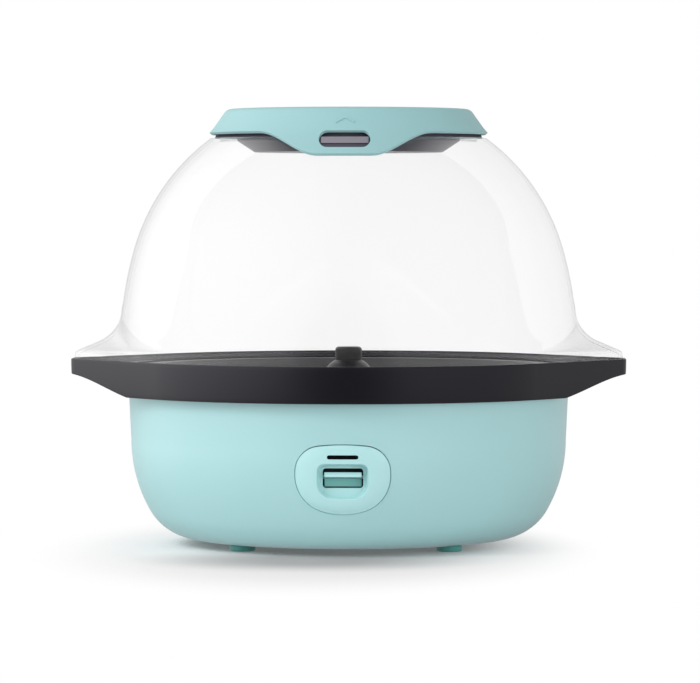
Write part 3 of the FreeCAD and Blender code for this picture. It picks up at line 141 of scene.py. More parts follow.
def two_tone(tree, mask, dark, light, socket):
    """A colour that wanders between two tones by a mask, put into a socket."""
    tones = add_node(tree, "Mix", data_type="RGBA")
    tones.inputs["A"].default_value = (*dark, 1)
    tones.inputs["B"].default_value = (*light, 1)
    tree.links.new(mask, tones.inputs["Factor"])
    tree.links.new(tones.outputs["Result"], socket)


def mix_shaders(tree, share, first, second, out):
    """Two shaders mixed by a share and put into an output node."""
    mix = add_node(tree, "MixShader")
    for socket, source in zip(mix.inputs, (share, first.outputs[0], second.outputs[0])):
        tree.links.new(source, socket)
    tree.links.new(mix.outputs[0], out.inputs[0])


# Camera, floor and light

def put_facing(item, place, aim):
    """Put a camera or a lamp into the scene, turned to a point."""
    look = np.array(aim) - np.array(place)
    pitch = math.atan2(look[2], math.hypot(look[0], look[1]))
    item.location = place
    item.rotation_euler = (math.pi / 2 + pitch, 0, math.atan2(-look[0], look[1]))
    bpy.context.scene.collection.objects.link(item)


def make_camera():
    """A long lens a little above the handles and a little to the right, as in the photograph."""
    distance, turn, height = 2.52, math.radians(1.5), 0.2026
    camera = bpy.data.objects.new("camera", bpy.data.cameras.new("camera"))
    camera.data.lens = 216
    camera.data.sensor_width = 36
    place = (math.sin(turn) * distance, -math.cos(turn) * distance, height)
    put_facing(camera, place, (0.00084, 0.0, 0.121))
    bpy.context.scene.camera = camera


def lean(tree, place, direction, low, high, far, near, change="SMOOTHSTEP"):
    """A number that goes from far to near as a view direction turns towards a given one."""
    dot = add_node(tree, "VectorMath", {1: unit(np.array(direction, dtype=float))}, operation="DOT_PRODUCT")
    tree.links.new(place.outputs["Generated"], dot.inputs[0])
    return ramp(tree, dot.outputs["Value"], low, high, far, near, change)


def make_world():
    """A white studio that lights the object most from the left and is dimmer in four directions."""
    world = bpy.data.worlds.new("studio")
    bpy.context.scene.world = world
    tree = bare_tree(world)
    place = add_node(tree, "TexCoord")
    level = lean(tree, place, (-1.0, -0.1, 0.55), 0.4, 1.0, 0.645, 1.86, "LINEAR")
    dimmed = {
        "overhead": ((0, 0, 1), 0.3, 1.0, 0.68),
        "upper right": ((1, 0, 0.9), 0.3, 1.0, 0.7),
        "below": ((0, 0, -1), 0.04, 0.3, 0.6),
        "behind the camera": ((0, -1, -0.08), 0.87, 0.985, 0.02),
    }
    for direction, low, high, darkest in dimmed.values():
        level = work_out(tree, "MULTIPLY", level, lean(tree, place, direction, low, high, 1.0, darkest))
    room = add_node(tree, "Background", {"Color": WHITE})
    tree.links.new(level, room.inputs["Strength"])
    white = add_node(tree, "Background", {"Color": WHITE, "Strength": 1.0})
    mix_shaders(tree, either_ray(tree, "Camera", "Transmission"), room, white, add_node(tree, "OutputWorld"))


def oval(tree, centre, size, low, first, last):
    """A number that goes from first to last between a share of an oval's size and its edge."""
    link = tree.links.new
    place = add_node(tree, "TexCoord")
    away = add_node(tree, "VectorMath", {1: centre}, operation="SUBTRACT")
    share = add_node(tree, "VectorMath", {1: size}, operation="DIVIDE")
    far = add_node(tree, "VectorMath", operation="LENGTH")
    link(place.outputs["Object"], away.inputs[0])
    link(away.outputs[0], share.inputs[0])
    link(share.outputs[0], far.inputs[0])
    return ramp(tree, far.outputs["Value"], low, 1.0, first, last)


def floor_paper():
    """Pale paper with a painted shadow just in front of the base, that fades to the studio's white away from
    it.
    """
    material = bpy.data.materials.new("pale_floor")
    tree = bare_tree(material)
    seen = either_ray(tree, "Camera", "Transmission")
    unseen = work_out(tree, "SUBTRACT", 1.0, seen)
    fade = oval(tree, (-0.018, -0.058, 0), (0.17, 0.306, 1), 0.44, 0.1, 1.0)
    # Painted shadow: camera rays see the paper darken towards the middle of this oval, just in front of the
    # base; other rays see it plain.
    clear = oval(tree, (-0.018, -0.125, 0), (0.115, 0.09, 1), 0.2, 0.0, 1.0)
    paper = add_node(tree, "BsdfDiffuse")
    painted_shadow_tone, plain = (0.40, 0.385, 0.385), (0.905, 0.875, 0.875)
    two_tone(tree, work_out(tree, "MAXIMUM", clear, unseen), painted_shadow_tone, plain, paper.inputs["Color"])
    glow = add_node(tree, "Emission", {"Strength": 1.0})
    mix_shaders(tree, work_out(tree, "MULTIPLY", fade, seen), paper, glow, add_node(tree, "OutputMaterial"))
    return material


def make_floor():
    """A round sheet of paper under the feet that mirror images leave out."""
    turns = np.linspace(0, 2 * math.pi, 96, endpoint=False)
    edge = np.stack([FLOOR_RADIUS * np.cos(turns), FLOOR_RADIUS * np.sin(turns), 0 * turns], axis=-1)
    mesh = bpy.data.meshes.new("floor")
    mesh.from_pydata(edge.tolist(), [], [list(range(len(edge)))])
    mesh.materials.append(floor_paper())
    floor = bpy.data.objects.new("floor", mesh)
    bpy.context.scene.collection.objects.link(floor)
    floor.visible_glossy = False


def soft_box(name, place, aim, width, height, watts):
    """An area lamp turned to a point, left out of mirror images and of what shows through clear plastic."""
    lamp = bpy.data.lights.new(name, "AREA")
    lamp.shape = "RECTANGLE"
    lamp.size, lamp.size_y, lamp.energy = width, height, watts
    item = bpy.data.objects.new(name, lamp)
    item.visible_glossy = False
    item.visible_transmission = False
    put_facing(item, place, aim)


def make_lights():
    """A key at the upper left and a low fill at the right."""
    middle = (0, 0, 0.12)
    soft_box("key_box", (-1.8, -1.5, 1.9), middle, 1.0, 1.0, 20)
    soft_box("fill_box", (1.7, -1.7, 0.15), middle, 1.4, 1.2, 24)


# Surfaces

def quads(rows, columns, close_rows, close_columns):
    """Corner numbers of the quads of a grid, joined end to end where asked."""
    index = np.arange(rows * columns).reshape(rows, columns)
    if close_columns:
        index = np.concatenate([index, index[:, :1]], axis=1)
    if close_rows:
        index = np.concatenate([index, index[:1]], axis=0)
    corners = [index[:-1, :-1], index[:-1, 1:], index[1:, 1:], index[1:, :-1]]
    return np.stack(corners, axis=-1).reshape(-1, 4)


def patch(points, close_rows=False, close_columns=False, skip=None):
    """A grid of points (rows, columns, 3) with its quads; skip is a (rows, columns) range left open."""
    rows, columns = points.shape[:2]
    faces = quads(rows, columns, close_rows, close_columns)
    if skip is not None:
        (row_low, row_high), (column_low, column_high) = skip
        row, column = np.divmod(faces[:, 0], columns)
        inside = (row >= row_low) & (row < row_high) & (column >= column_low) & (column < column_high)
        faces = faces[~inside]
    return points.reshape(-1, 3), faces


def tubes(*grids):
    """Patches of several grids whose columns close into loops."""
    return [patch(points, close_columns=True) for points in grids]


def lid(loop):
    """A flat face that closes a loop of points."""
    return loop, np.arange(len(loop)).reshape(1, -1)


def join(patches, inside=(0, 0, 120)):
    """One closed-up mesh of several patches in metres, its faces pointing away from a point inside."""
    mesh = bpy.data.meshes.new("joined")
    vertices, faces, start = [], [], 0
    for points, corners in patches:
        vertices.append(points)
        faces += (corners + start).tolist()
        start += len(points)
    mesh.from_pydata((np.concatenate(vertices) * MM).tolist(), [], faces)
    work = bmesh.new()
    work.from_mesh(mesh)
    bmesh.ops.remove_doubles(work, verts=work.verts, dist=2e-6)
    bmesh.ops.dissolve_degenerate(work, edges=work.edges, dist=1e-6)
    loose = [vertex for vertex in work.verts if not vertex.link_faces]
    bmesh.ops.delete(work, geom=loose, context="VERTS")
    bmesh.ops.recalc_face_normals(work, faces=work.faces)
    work.to_mesh(mesh)
    work.free()
    count = len(mesh.polygons)
    centres, normals, areas = np.empty(count * 3), np.empty(count * 3), np.empty(count)
    mesh.polygons.foreach_get("center", centres)
    mesh.polygons.foreach_get("normal", normals)
    mesh.polygons.foreach_get("area", areas)
    away = (centres.reshape(-1, 3) - np.array(inside) * MM) * normals.reshape(-1, 3)
    if (away.sum(axis=1) * areas).sum() < 0:
        mesh.flip_normals()
    return mesh


def make_piece(name, mesh, body, slot, replaced=(), wall=0.0, edge=0.0, sharp=40, finish=None, second=None):
    """A finished piece: smooth faces, a wall set inwards, softened edges, its body, its slot's finish unless
    another is named, and its replaced nodes hidden.

    The second finish goes on the wall's inside, or on the faces that the mesh has marked for it.
    """
    mesh.name = name
    item = bpy.data.objects.new(name, mesh)
    bpy.context.scene.collection.objects.link(item)
    mesh.polygons.foreach_set("use_smooth", np.ones(len(mesh.polygons), dtype=bool))
    mesh.materials.append(MATERIALS[finish or slot])
    if second:
        mesh.materials.append(MATERIALS[second])
    if wall:
        thicken = item.modifiers.new("wall", "SOLIDIFY")
        thicken.thickness = wall * MM
        thicken.offset = -1
        thicken.use_even_offset = True
        thicken.material_offset = len(mesh.materials) - 1
    if edge:
        soften = item.modifiers.new("soft_edge", "BEVEL")
        soften.width = edge * MM
        soften.segments = 3
        soften.limit_method = "ANGLE"
        soften.angle_limit = math.radians(sharp)
        soften.use_clamp_overlap = True
        even = item.modifiers.new("even_normals", "WEIGHTED_NORMAL")
        even.keep_sharp = True
    else:
        mesh.set_sharp_from_angle(angle=math.radians(sharp))
    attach(item, body)
    if replaced:
        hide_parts(*replaced)


def arc(centre, radius, start, end, count):
    """Points on an arc, with the angles in radians."""
    turn = np.linspace(start, end, count)
    return np.stack([centre[0] + radius * np.cos(turn), centre[1] + radius * np.sin(turn)], axis=-1)


def unit(vectors):
    """Vectors scaled to length one."""
    return vectors / np.maximum(np.linalg.norm(vectors, axis=-1, keepdims=True), 1e-9)


def ease(share):
    """An S curve from nought to one, level at both ends."""
    return share ** 2 * (3 - 2 * share)


def round_corner(before, corner, after, radius, steps):
    """The arc that touches both runs at a corner, for many sections at once."""
    first, second = before - corner, after - corner
    room = np.minimum(np.linalg.norm(first, axis=-1), np.linalg.norm(second, axis=-1)) * 0.49
    first, second = unit(first), unit(second)
    half = np.arccos(np.clip((first * second).sum(axis=-1), -0.9999, 0.9999)) / 2
    reach = np.minimum(radius / np.tan(half), room)
    fitted = reach * np.tan(half)
    centre = corner + unit(first + second) * (fitted / np.sin(half))[..., None]
    start, end = corner + first * reach[..., None] - centre, corner + second * reach[..., None] - centre
    sweep = np.maximum(math.pi - 2 * half, 1e-4)[..., None]
    share = np.linspace(0, 1, steps).reshape(-1, *([1] * start.ndim))
    return centre + (np.sin((1 - share) * sweep) * start + np.sin(share * sweep) * end) / np.sin(sweep)


def rounded(corners, radii, closed=False, steps=5):
    """A line through corners (corner, section, 2) with each corner rounded by its own radius."""
    corners = np.asarray(corners, dtype=float)
    count = len(corners)
    runs = []
    for index, radius in enumerate(radii):
        if not radius or (not closed and index in (0, count - 1)):
            runs.append(corners[index:index + 1])
            continue
        before, after = corners[index - 1], corners[(index + 1) % count]
        runs.append(round_corner(before, corners[index], after, radius, steps))
    return np.concatenate(runs)


def turned(section, angles):
    """A section of radius and height (point, angle, 2) carried round the upright axis."""
    radius, height = section[..., 0], section[..., 1]
    return np.stack([radius * np.cos(angles), radius * np.sin(angles), height + 0 * angles], axis=-1)


def loop_reach(loop, centre, directions):
    """Distance from a centre to a closed loop along directions given as angles."""
    away = loop - centre
    turn = np.arctan2(away[:, 1], away[:, 0])
    order = np.argsort(turn)
    turn, distance = turn[order], np.linalg.norm(away, axis=1)[order]
    return np.interp(directions, turn, distance, period=2 * math.pi)


def between_loops(outer, inner, centre, shares):
    """Rows of points from an outer loop in to an inner one along straight spokes from a centre."""
    away = outer - centre
    directions = np.arctan2(away[:, 1], away[:, 0])
    reach = loop_reach(inner, centre, directions)
    goal = centre + np.stack([np.cos(directions), np.sin(directions)], axis=-1) * reach[:, None]
    shares = np.asarray(shares)[:, None, None]
    return outer * (1 - shares) + goal * shares


def on_front(plan, radius_at):
    """Points of a front view (x, z) put onto the front of a round body."""
    x, z = plan[..., 0], plan[..., 1]
    return np.stack([x, -np.sqrt(radius_at(z) ** 2 - x ** 2), z], axis=-1)


def bar(outline, half, inside):
    """A side outline (y, z) carried across a width and closed at both ends."""
    body = np.stack([np.insert(outline, 0, x, axis=1) for x in (-half, half)])
    return join([patch(body, close_columns=True), lid(body[0]), lid(body[1])], inside)


# Outlines shared by several pieces

def lemon_reach(angles, inset):
    """Distance from the middle to the ring's plan: a circle, tangent lines and a blunt round-cornered tip."""
    turn = np.arctan2(np.abs(np.sin(angles)), np.abs(np.cos(angles)))
    radius, tip = RING_RADIUS - inset, TIP_REACH - inset
    side = np.where(turn < TANGENT_ANGLE, radius / np.cos(turn - TANGENT_ANGLE), radius)
    reach = np.minimum(side, tip / np.maximum(np.cos(turn), 0.1))
    slope_x, slope_y = TIP_CORNER * math.cos(TANGENT_ANGLE), TIP_CORNER * math.sin(TANGENT_ANGLE)
    centre_x = tip - TIP_CORNER
    centre_y = (radius - TIP_CORNER - centre_x * math.cos(TANGENT_ANGLE)) / math.sin(TANGENT_ANGLE)
    far, middle = np.hypot(centre_x, centre_y), np.arctan2(centre_y, centre_x)
    low, high = np.arctan2(centre_y, tip), np.arctan2(centre_y + slope_y, centre_x + slope_x)
    swing = turn - middle
    corner = far * np.cos(swing) + np.sqrt(np.maximum(TIP_CORNER ** 2 - (far * np.sin(swing)) ** 2, 0))
    return np.where((turn > low) & (turn < high), corner, reach)


def lemon_angles(count):
    """Angles spaced evenly along the ring's plan."""
    fine = np.linspace(0, 2 * math.pi, 20001)
    reach = lemon_reach(fine, 0)
    step = np.hypot(np.diff(reach * np.cos(fine)), np.diff(reach * np.sin(fine)))
    length = np.concatenate([[0], np.cumsum(step)])
    return np.interp(np.linspace(0, length[-1], count, endpoint=False), length, fine)


SIDE_CENTRE = SHOULDER_RADIUS - SIDE_ARC
HEEL_X = SIDE_CENTRE + (SIDE_ARC - HEEL_ARC) * math.cos(SIDE_SWEEP)
HEEL_Z = FOOT_HEIGHT + HEEL_ARC
SHOULDER_Z = HEEL_Z + (SIDE_ARC - HEEL_ARC) * math.sin(SIDE_SWEEP)
SIDE_JOIN_Z = SHOULDER_Z - SIDE_ARC * math.sin(SIDE_SWEEP)


def bowl_radius(z):
    """Radius of the housing at a height: a heel arc, a wide side arc and a slightly opening rim."""
    heel = HEEL_X + np.sqrt(np.maximum(HEEL_ARC ** 2 - np.minimum(z - HEEL_Z, 0) ** 2, 0))
    side = SIDE_CENTRE + np.sqrt(SIDE_ARC ** 2 - np.minimum(z - SHOULDER_Z, 0) ** 2)
    rim = HOUSING_DRAFT * np.clip((z - SHOULDER_Z) / (RING_BOTTOM - SHOULDER_Z), 0, 1)
    return np.where(z < SIDE_JOIN_Z, heel, side + rim)


def egg_loop(offset, count=40):
    """The bezel's outline moved outwards: flat crown, round shoulders, short upright sides, full chin."""
    upper_x, lower_x = BEZEL_HALF - BEZEL_UPPER, BEZEL_HALF - BEZEL_LOWER
    rise, drop = BEZEL_HIGH - BEZEL_MID, BEZEL_SIDE - BEZEL_LOW
    crown = (upper_x ** 2 + rise ** 2 - BEZEL_UPPER ** 2) / (2 * (rise - BEZEL_UPPER))
    chin = (lower_x ** 2 + drop ** 2 - BEZEL_LOWER ** 2) / (2 * (drop - BEZEL_LOWER))
    crown_turn = math.acos(upper_x / (crown - BEZEL_UPPER))
    chin_turn = math.acos(lower_x / (chin - BEZEL_LOWER))
    half = np.concatenate([
        arc((0, BEZEL_LOW + chin), chin + offset, -math.pi / 2, -chin_turn, count),
        arc((lower_x, BEZEL_SIDE), BEZEL_LOWER + offset, -chin_turn, 0, count)[1:],
        arc((upper_x, BEZEL_MID), BEZEL_UPPER + offset, 0, crown_turn, count),
        arc((0, BEZEL_HIGH - crown), crown + offset, crown_turn, math.pi / 2, count)[1:],
    ])
    return np.concatenate([half, (half * [-1, 1])[-2:0:-1]])


def panel_loop(half, low, high, lower, upper, steps=14):
    """An upright rectangle with one radius at its lower corners and another at its upper ones."""
    corners = np.array([[half, low], [half, high], [-half, high], [-half, low]], dtype=float)[:, None, :]
    return rounded(corners, (lower, upper, upper, lower), closed=True, steps=steps)[:, 0, :]


def slot_loop(half, middle, height):
    """A level slot with round ends."""
    return panel_loop(half, middle - height / 2, middle + height / 2, height / 2, height / 2)


def dense(loop, step):
    """A closed loop resampled evenly, so that no run is longer than a step."""
    closed = np.concatenate([loop, loop[:1]])
    length = np.concatenate([[0], np.cumsum(np.linalg.norm(np.diff(closed, axis=0), axis=1))])
    count = int(math.ceil(length[-1] / step))
    places = np.linspace(0, length[-1], count, endpoint=False)
    return np.stack([np.interp(places, length, closed[:, axis]) for axis in (0, 1)], axis=-1)


def rectangle_loop(grid, rows, columns):
    """The points round the edge of a block of a grid, in order."""
    (row_low, row_high), (column_low, column_high) = rows, columns
    return np.concatenate([
        grid[row_low, column_low:column_high],
        grid[row_low:row_high, column_high],
        grid[row_high, column_high:column_low:-1],
        grid[row_high:row_low:-1, column_low],
    ])


def front_columns(count, half_angle):
    """Column angles round the body that are finer over the front, and the block of columns in front."""
    front = np.linspace(-half_angle, half_angle, 33)
    rest = np.linspace(half_angle, 2 * math.pi - half_angle, count)[1:-1]
    return np.concatenate([front, rest]) - math.pi / 2, (0, len(front) - 1)


# Materials

MATERIALS = {}


def effect_group(name, inputs, outputs):
    """An empty shader node group with named number sockets, and its two end nodes."""
    group = bpy.data.node_groups.new(name, "ShaderNodeTree")
    for label, number in inputs.items():
        socket = group.interface.new_socket(label, in_out="INPUT", socket_type="NodeSocketFloat")
        socket.default_value = number
    for label in outputs:
        group.interface.new_socket(label, in_out="OUTPUT", socket_type="NodeSocketFloat")
    return group, group.nodes.new("NodeGroupInput").outputs, group.nodes.new("NodeGroupOutput").inputs


def moulded_grain():
    """Moulded plastic: a faint cloudiness in the colour, uneven gloss and a fine grain."""
    group, given, results = effect_group(
        "moulded_grain",
        {"Cloud Scale": 14, "Grain Scale": 1600, "Gloss": 0.35, "Gloss Spread": 0.06},
        ("Cloud", "Roughness", "Height"),
    )
    link = group.links.new
    place = add_node(group, "TexCoord")
    cloud = add_node(group, "TexNoise", {"Detail": 4.0, "Roughness": 0.55})
    grain = add_node(group, "TexNoise", {"Detail": 2.0, "Roughness": 0.5})
    link(place.outputs["Object"], cloud.inputs["Vector"])
    link(place.outputs["Object"], grain.inputs["Vector"])
    link(given["Cloud Scale"], cloud.inputs["Scale"])
    link(given["Grain Scale"], grain.inputs["Scale"])
    spread = add_node(group, "MapRange", {"From Min": 0.2, "From Max": 0.8, "To Min": -1.0, "To Max": 1.0},
                      clamp=False)
    link(cloud.outputs["Fac"], spread.inputs["Value"])
    gloss = work_out(group, "MULTIPLY_ADD", spread.outputs["Result"], given["Gloss Spread"], given["Gloss"])
    link(cloud.outputs["Fac"], results["Cloud"])
    link(gloss, results["Roughness"])
    link(grain.outputs["Fac"], results["Height"])
    return group


def drawn_metal():
    """Drawn or rolled metal: fine streaks along one axis, with uneven gloss."""
    group, given, results = effect_group(
        "drawn_metal",
        {"Along X": 40, "Across Y": 900, "Across Z": 900, "Gloss": 0.3, "Gloss Spread": 0.12},
        ("Streak", "Roughness", "Height"),
    )
    link = group.links.new
    place = add_node(group, "TexCoord")
    stretch = add_node(group, "VectorMath", operation="MULTIPLY")
    factors = add_node(group, "CombineXYZ")
    for source, axis in (("Along X", "X"), ("Across Y", "Y"), ("Across Z", "Z")):
        link(given[source], factors.inputs[axis])
    link(place.outputs["Object"], stretch.inputs[0])
    link(factors.outputs[0], stretch.inputs[1])
    streak = add_node(group, "TexNoise", {"Scale": 1.0, "Detail": 3.0, "Roughness": 0.6})
    link(stretch.outputs[0], streak.inputs["Vector"])
    gloss = work_out(group, "MULTIPLY_ADD", streak.outputs["Fac"], given["Gloss Spread"], given["Gloss"])
    link(streak.outputs["Fac"], results["Streak"])
    link(gloss, results["Roughness"])
    link(streak.outputs["Fac"], results["Height"])
    return group


MOULDED = moulded_grain()
DRAWN = drawn_metal()


def new_material(name):
    """A material with only a Principled node and an output."""
    material = bpy.data.materials.new(name)
    tree = bare_tree(material)
    surface = add_node(tree, "BsdfPrincipled")
    out = add_node(tree, "OutputMaterial")
    tree.links.new(surface.outputs[0], out.inputs[0])
    MATERIALS[name] = material
    return tree, surface, out


def with_effect(tree, surface, group, values, depth, strength):
    """Place an effect in a material: its gloss and its height as a bump of a depth in metres."""
    effect = add_node(tree, "Group", values, node_tree=group)
    bump = add_node(tree, "Bump", {"Strength": strength, "Distance": depth})
    tree.links.new(effect.outputs["Height"], bump.inputs["Height"])
    tree.links.new(effect.outputs["Roughness"], surface.inputs["Roughness"])
    tree.links.new(bump.outputs["Normal"], surface.inputs["Normal"])
    return effect


def plastic(name, dark, light, gloss, spread=0.04, grain=1600, depth=0.00002, strength=0.25):
    """A moulded plastic of two near tones."""
    tree, surface, _ = new_material(name)
    values = {"Cloud Scale": 14, "Grain Scale": grain, "Gloss": gloss, "Gloss Spread": spread}
    effect = with_effect(tree, surface, MOULDED, values, depth, strength)
    two_tone(tree, effect.outputs["Cloud"], dark, light, surface.inputs["Base Color"])
    return surface


def metal(name, dark, light, gloss, stretch=(40, 900, 900)):
    """A bare metal with drawn streaks."""
    tree, surface, _ = new_material(name)
    values = dict(zip(("Along X", "Across Y", "Across Z"), stretch))
    values.update({"Gloss": gloss, "Gloss Spread": 0.12})
    effect = with_effect(tree, surface, DRAWN, values, 0.00001, 0.2)
    two_tone(tree, effect.outputs["Streak"], dark, light, surface.inputs["Base Color"])
    surface.inputs["Metallic"].default_value = 1.0


def clear_plastic(name, shine):
    """Polished clear plastic of a given shine, hazier on the lugs; lamp light passes straight through."""
    tree, surface, out = new_material(name)
    surface.inputs["Base Color"].default_value = (0.995, 0.995, 0.997, 1)
    surface.inputs["Transmission Weight"].default_value = 1.0
    surface.inputs["IOR"].default_value = 1.0005
    surface.inputs["Coat Weight"].default_value = shine
    surface.inputs["Coat IOR"].default_value = 1.49
    surface.inputs["Coat Roughness"].default_value = 0.03
    values = {"Cloud Scale": 9, "Grain Scale": 30, "Gloss": 0.025, "Gloss Spread": 0.015}
    effect = add_node(tree, "Group", values, node_tree=MOULDED)
    frost = add_node(tree, "Attribute", attribute_name="frost")
    haze = 0.2
    blur = work_out(tree, "MULTIPLY_ADD", frost.outputs["Fac"], haze, effect.outputs["Roughness"])
    tree.links.new(blur, surface.inputs["Roughness"])
    through = add_node(tree, "BsdfTransparent")
    mix_shaders(tree, either_ray(tree, "Shadow", "Diffuse"), surface, through, out)


def make_materials():
    """Every finish of the popper, named for the record's slots or for a piece's own tone; the rocker's two
    teals are painted light and painted shade.
    """
    fine = 0.00001
    housing = plastic("housing_teal", (0.398, 0.675, 0.69), (0.412, 0.69, 0.705), 0.32, spread=0.03,
                      depth=fine)
    housing.inputs["Coat Weight"].default_value = 0.15
    plastic("control_teal", (0.46, 0.765, 0.775), (0.475, 0.78, 0.79), 0.34, depth=fine)
    # Painted light and shade: copies of the rocker's teal, lighter for the finger bar and darker for the
    # hollow under it.
    plastic("lit_bar_teal", (0.53, 0.83, 0.84), (0.545, 0.845, 0.855), 0.34, depth=fine)
    plastic("shaded_hollow_teal", (0.215, 0.53, 0.505), (0.226, 0.543, 0.518), 0.34, depth=fine)
    plastic("cap_teal", (0.316, 0.558, 0.576), (0.329, 0.575, 0.593), 0.46, grain=2200, strength=0.4)
    plastic("foot_teal", (0.10, 0.35, 0.32), (0.12, 0.38, 0.35), 0.5)
    ring = plastic("ring_black", (0.0050, 0.0047, 0.0068), (0.0065, 0.0061, 0.0088), 0.33, spread=0.03,
                   grain=2000, depth=fine)
    ring.inputs["Specular Tint"].default_value = (0.92, 0.90, 1.0, 1)
    clear_plastic("clear_plastic", 1.0)
    clear_plastic("clear_inside", 0.06)
    plastic("tray_grey", (0.05, 0.047, 0.065), (0.075, 0.07, 0.09), 0.34)
    # Painted light: the latch bar's grey is lighter than the dark plate behind it, which stands for the shade
    # in the slot.
    plastic("latch_grey", (0.22, 0.205, 0.245), (0.26, 0.245, 0.285), 0.34)
    plastic("nonstick_dark", (0.018, 0.018, 0.02), (0.04, 0.04, 0.043), 0.38, grain=1200, strength=0.12)
    lens = plastic("black_lens", (0.0015, 0.0015, 0.002), (0.003, 0.003, 0.004), 0.35)
    lens.inputs["Specular IOR Level"].default_value = 0.12
    metal("bright_steel", (0.52, 0.52, 0.53), (0.66, 0.66, 0.67), 0.15)
    metal("galvanised", (0.42, 0.43, 0.45), (0.58, 0.60, 0.62), 0.34, stretch=(260, 260, 260))
    metal("element_steel", (0.20, 0.18, 0.17), (0.34, 0.30, 0.28), 0.42, stretch=(300, 300, 300))
    plastic("seal_rubber", (0.20, 0.06, 0.05), (0.26, 0.08, 0.06), 0.6)
    plastic("gland_rubber", (0.014, 0.014, 0.014), (0.022, 0.022, 0.022), 0.55)
    plastic("gear_nylon", (0.66, 0.64, 0.56), (0.74, 0.72, 0.64), 0.45)
    plastic("motor_dark", (0.03, 0.03, 0.035), (0.05, 0.05, 0.055), 0.5)
    metal("winding_copper", (0.42, 0.17, 0.07), (0.62, 0.28, 0.12), 0.3, stretch=(900, 900, 60))
    plastic("ceramic_white", (0.64, 0.62, 0.56), (0.74, 0.72, 0.66), 0.4)
    plastic("hub_black", (0.014, 0.014, 0.015), (0.024, 0.024, 0.026), 0.36)
    metal("bush_brass", (0.50, 0.33, 0.11), (0.66, 0.45, 0.17), 0.3)


def dress_nodes():
    """Give every node that stays its slot's finish."""
    slots = {row["node"]: row["material_slot"] for row in frame["record"]["subparts"]}
    for name, item in frame["nodes"].items():
        for holder in item.material_slots:
            holder.material = MATERIALS[slots[name]]


# Dome

def dome_radius(z):
    """Radius of the dome's wall at a height: upright, then a wide arc, then the crown's arc."""
    side_x = CROWN_X - (DOME_SIDE_ARC - CROWN_ARC) * math.cos(CROWN_JOIN)
    side_z = CROWN_Z - (DOME_SIDE_ARC - CROWN_ARC) * math.sin(CROWN_JOIN)
    side = side_x + np.sqrt(DOME_SIDE_ARC ** 2 - np.maximum(z - side_z, 0) ** 2)
    crown = CROWN_X + np.sqrt(np.maximum(CROWN_ARC ** 2 - (z - CROWN_Z) ** 2, 0))
    return np.where(z < side_z + DOME_SIDE_ARC * math.sin(CROWN_JOIN), side, crown)


def lug_curve():
    """How far the lug stands out from the wall, by height over the brim's edge: round edge, roof, cove."""
    tip = TIP_REACH - BRIM_INSET
    turns = np.linspace(math.pi / 2 - ROOF_SLOPE, 0, 14)
    cove = np.stack([COVE_X - COVE_ARC * np.cos(turns), COVE_TOP - COVE_ARC * np.sin(turns)], axis=-1)
    shoulder_z = cove[0, 1] - (tip - cove[0, 0]) * math.tan(ROOF_SLOPE)
    start_z = BRIM_EDGE - 0.1
    corners = np.array([[tip, start_z], [tip, shoulder_z], cove[0]])[:, None, :]
    edge = rounded(corners, (0, ROOF_ROUND, 0), steps=8)[1:-1, 0, :]
    roof = np.linspace(edge[-1], cove[0], 6)[1:-1]
    line = np.concatenate([edge, roof, cove])
    return line[:, 0] - dome_radius(line[:, 1]), line[:, 1] - BRIM_EDGE


def dome_mesh():
    """Wall radius by height plus a lug at each side that shrinks in width and height as the plan narrows."""
    angles = lemon_angles(PLAN_COLUMNS)
    brim = lemon_reach(angles, BRIM_INSET)
    base = float(dome_radius(np.array(BRIM_EDGE)))
    stand_out, rise = lug_curve()
    share = np.clip((brim - base) / (TIP_REACH - BRIM_INSET - base), 0, 1)
    least_share, shrink = 0.03, 0.85
    lug_z = BRIM_EDGE + rise[:, None] * np.maximum(share, least_share) ** shrink
    lug_r = dome_radius(lug_z) + stand_out[:, None] * share
    skirt_z = np.linspace(BRIM_BOTTOM, BRIM_EDGE, 3)[:, None] + 0 * angles
    skirt_r = brim + 0 * skirt_z
    wall_share = np.linspace(0, 1, 46)[1:, None]
    wall_z = lug_z[-1] + (DOME_TOP - lug_z[-1]) * np.sin(wall_share * math.pi / 2)
    wall_r = dome_radius(wall_z)
    edge = float(dome_radius(np.array(DOME_TOP)))
    ledge_r = np.linspace(edge, DOME_HOLE, 5)[1:, None] + 0 * angles
    ledge_z = DOME_TOP + 0 * ledge_r
    section = np.stack([
        np.concatenate([skirt_r, lug_r, wall_r, ledge_r]),
        np.concatenate([skirt_z, lug_z, wall_z, ledge_z]),
    ], axis=-1)
    mesh = join(tubes(turned(section, angles)))
    points = np.empty(len(mesh.vertices) * 3)
    mesh.vertices.foreach_get("co", points)
    x, y, z = points.reshape(-1, 3).T / MM
    haze = np.clip((np.hypot(x, y) - dome_radius(z)) / LUG_HAZE, 0, 1)
    mesh.attributes.new("frost", "FLOAT", "POINT").data.foreach_set("value", haze)
    return mesh


# Handle ring

def lug_underside(x):
    """Height of the ring's underside by distance from the middle: level, then a cubic rise to the tip."""
    run = TIP_REACH - LUG_ROOT
    share = np.clip((np.abs(x) - LUG_ROOT) / run, 0, 1)
    rise = (RING_TOP - TIP_THICK - RING_BOTTOM) * ease(share)
    bow = run * share * (1 - share) * (LUG_LEAVE * (1 - share) - LUG_ARRIVE * share)
    return RING_BOTTOM + rise + bow


def wall_inset(z):
    """How far the ring's outer wall draws in below its top: a flat parabola."""
    return RING_CROWN / 2 * (RING_TOP - z) ** 2


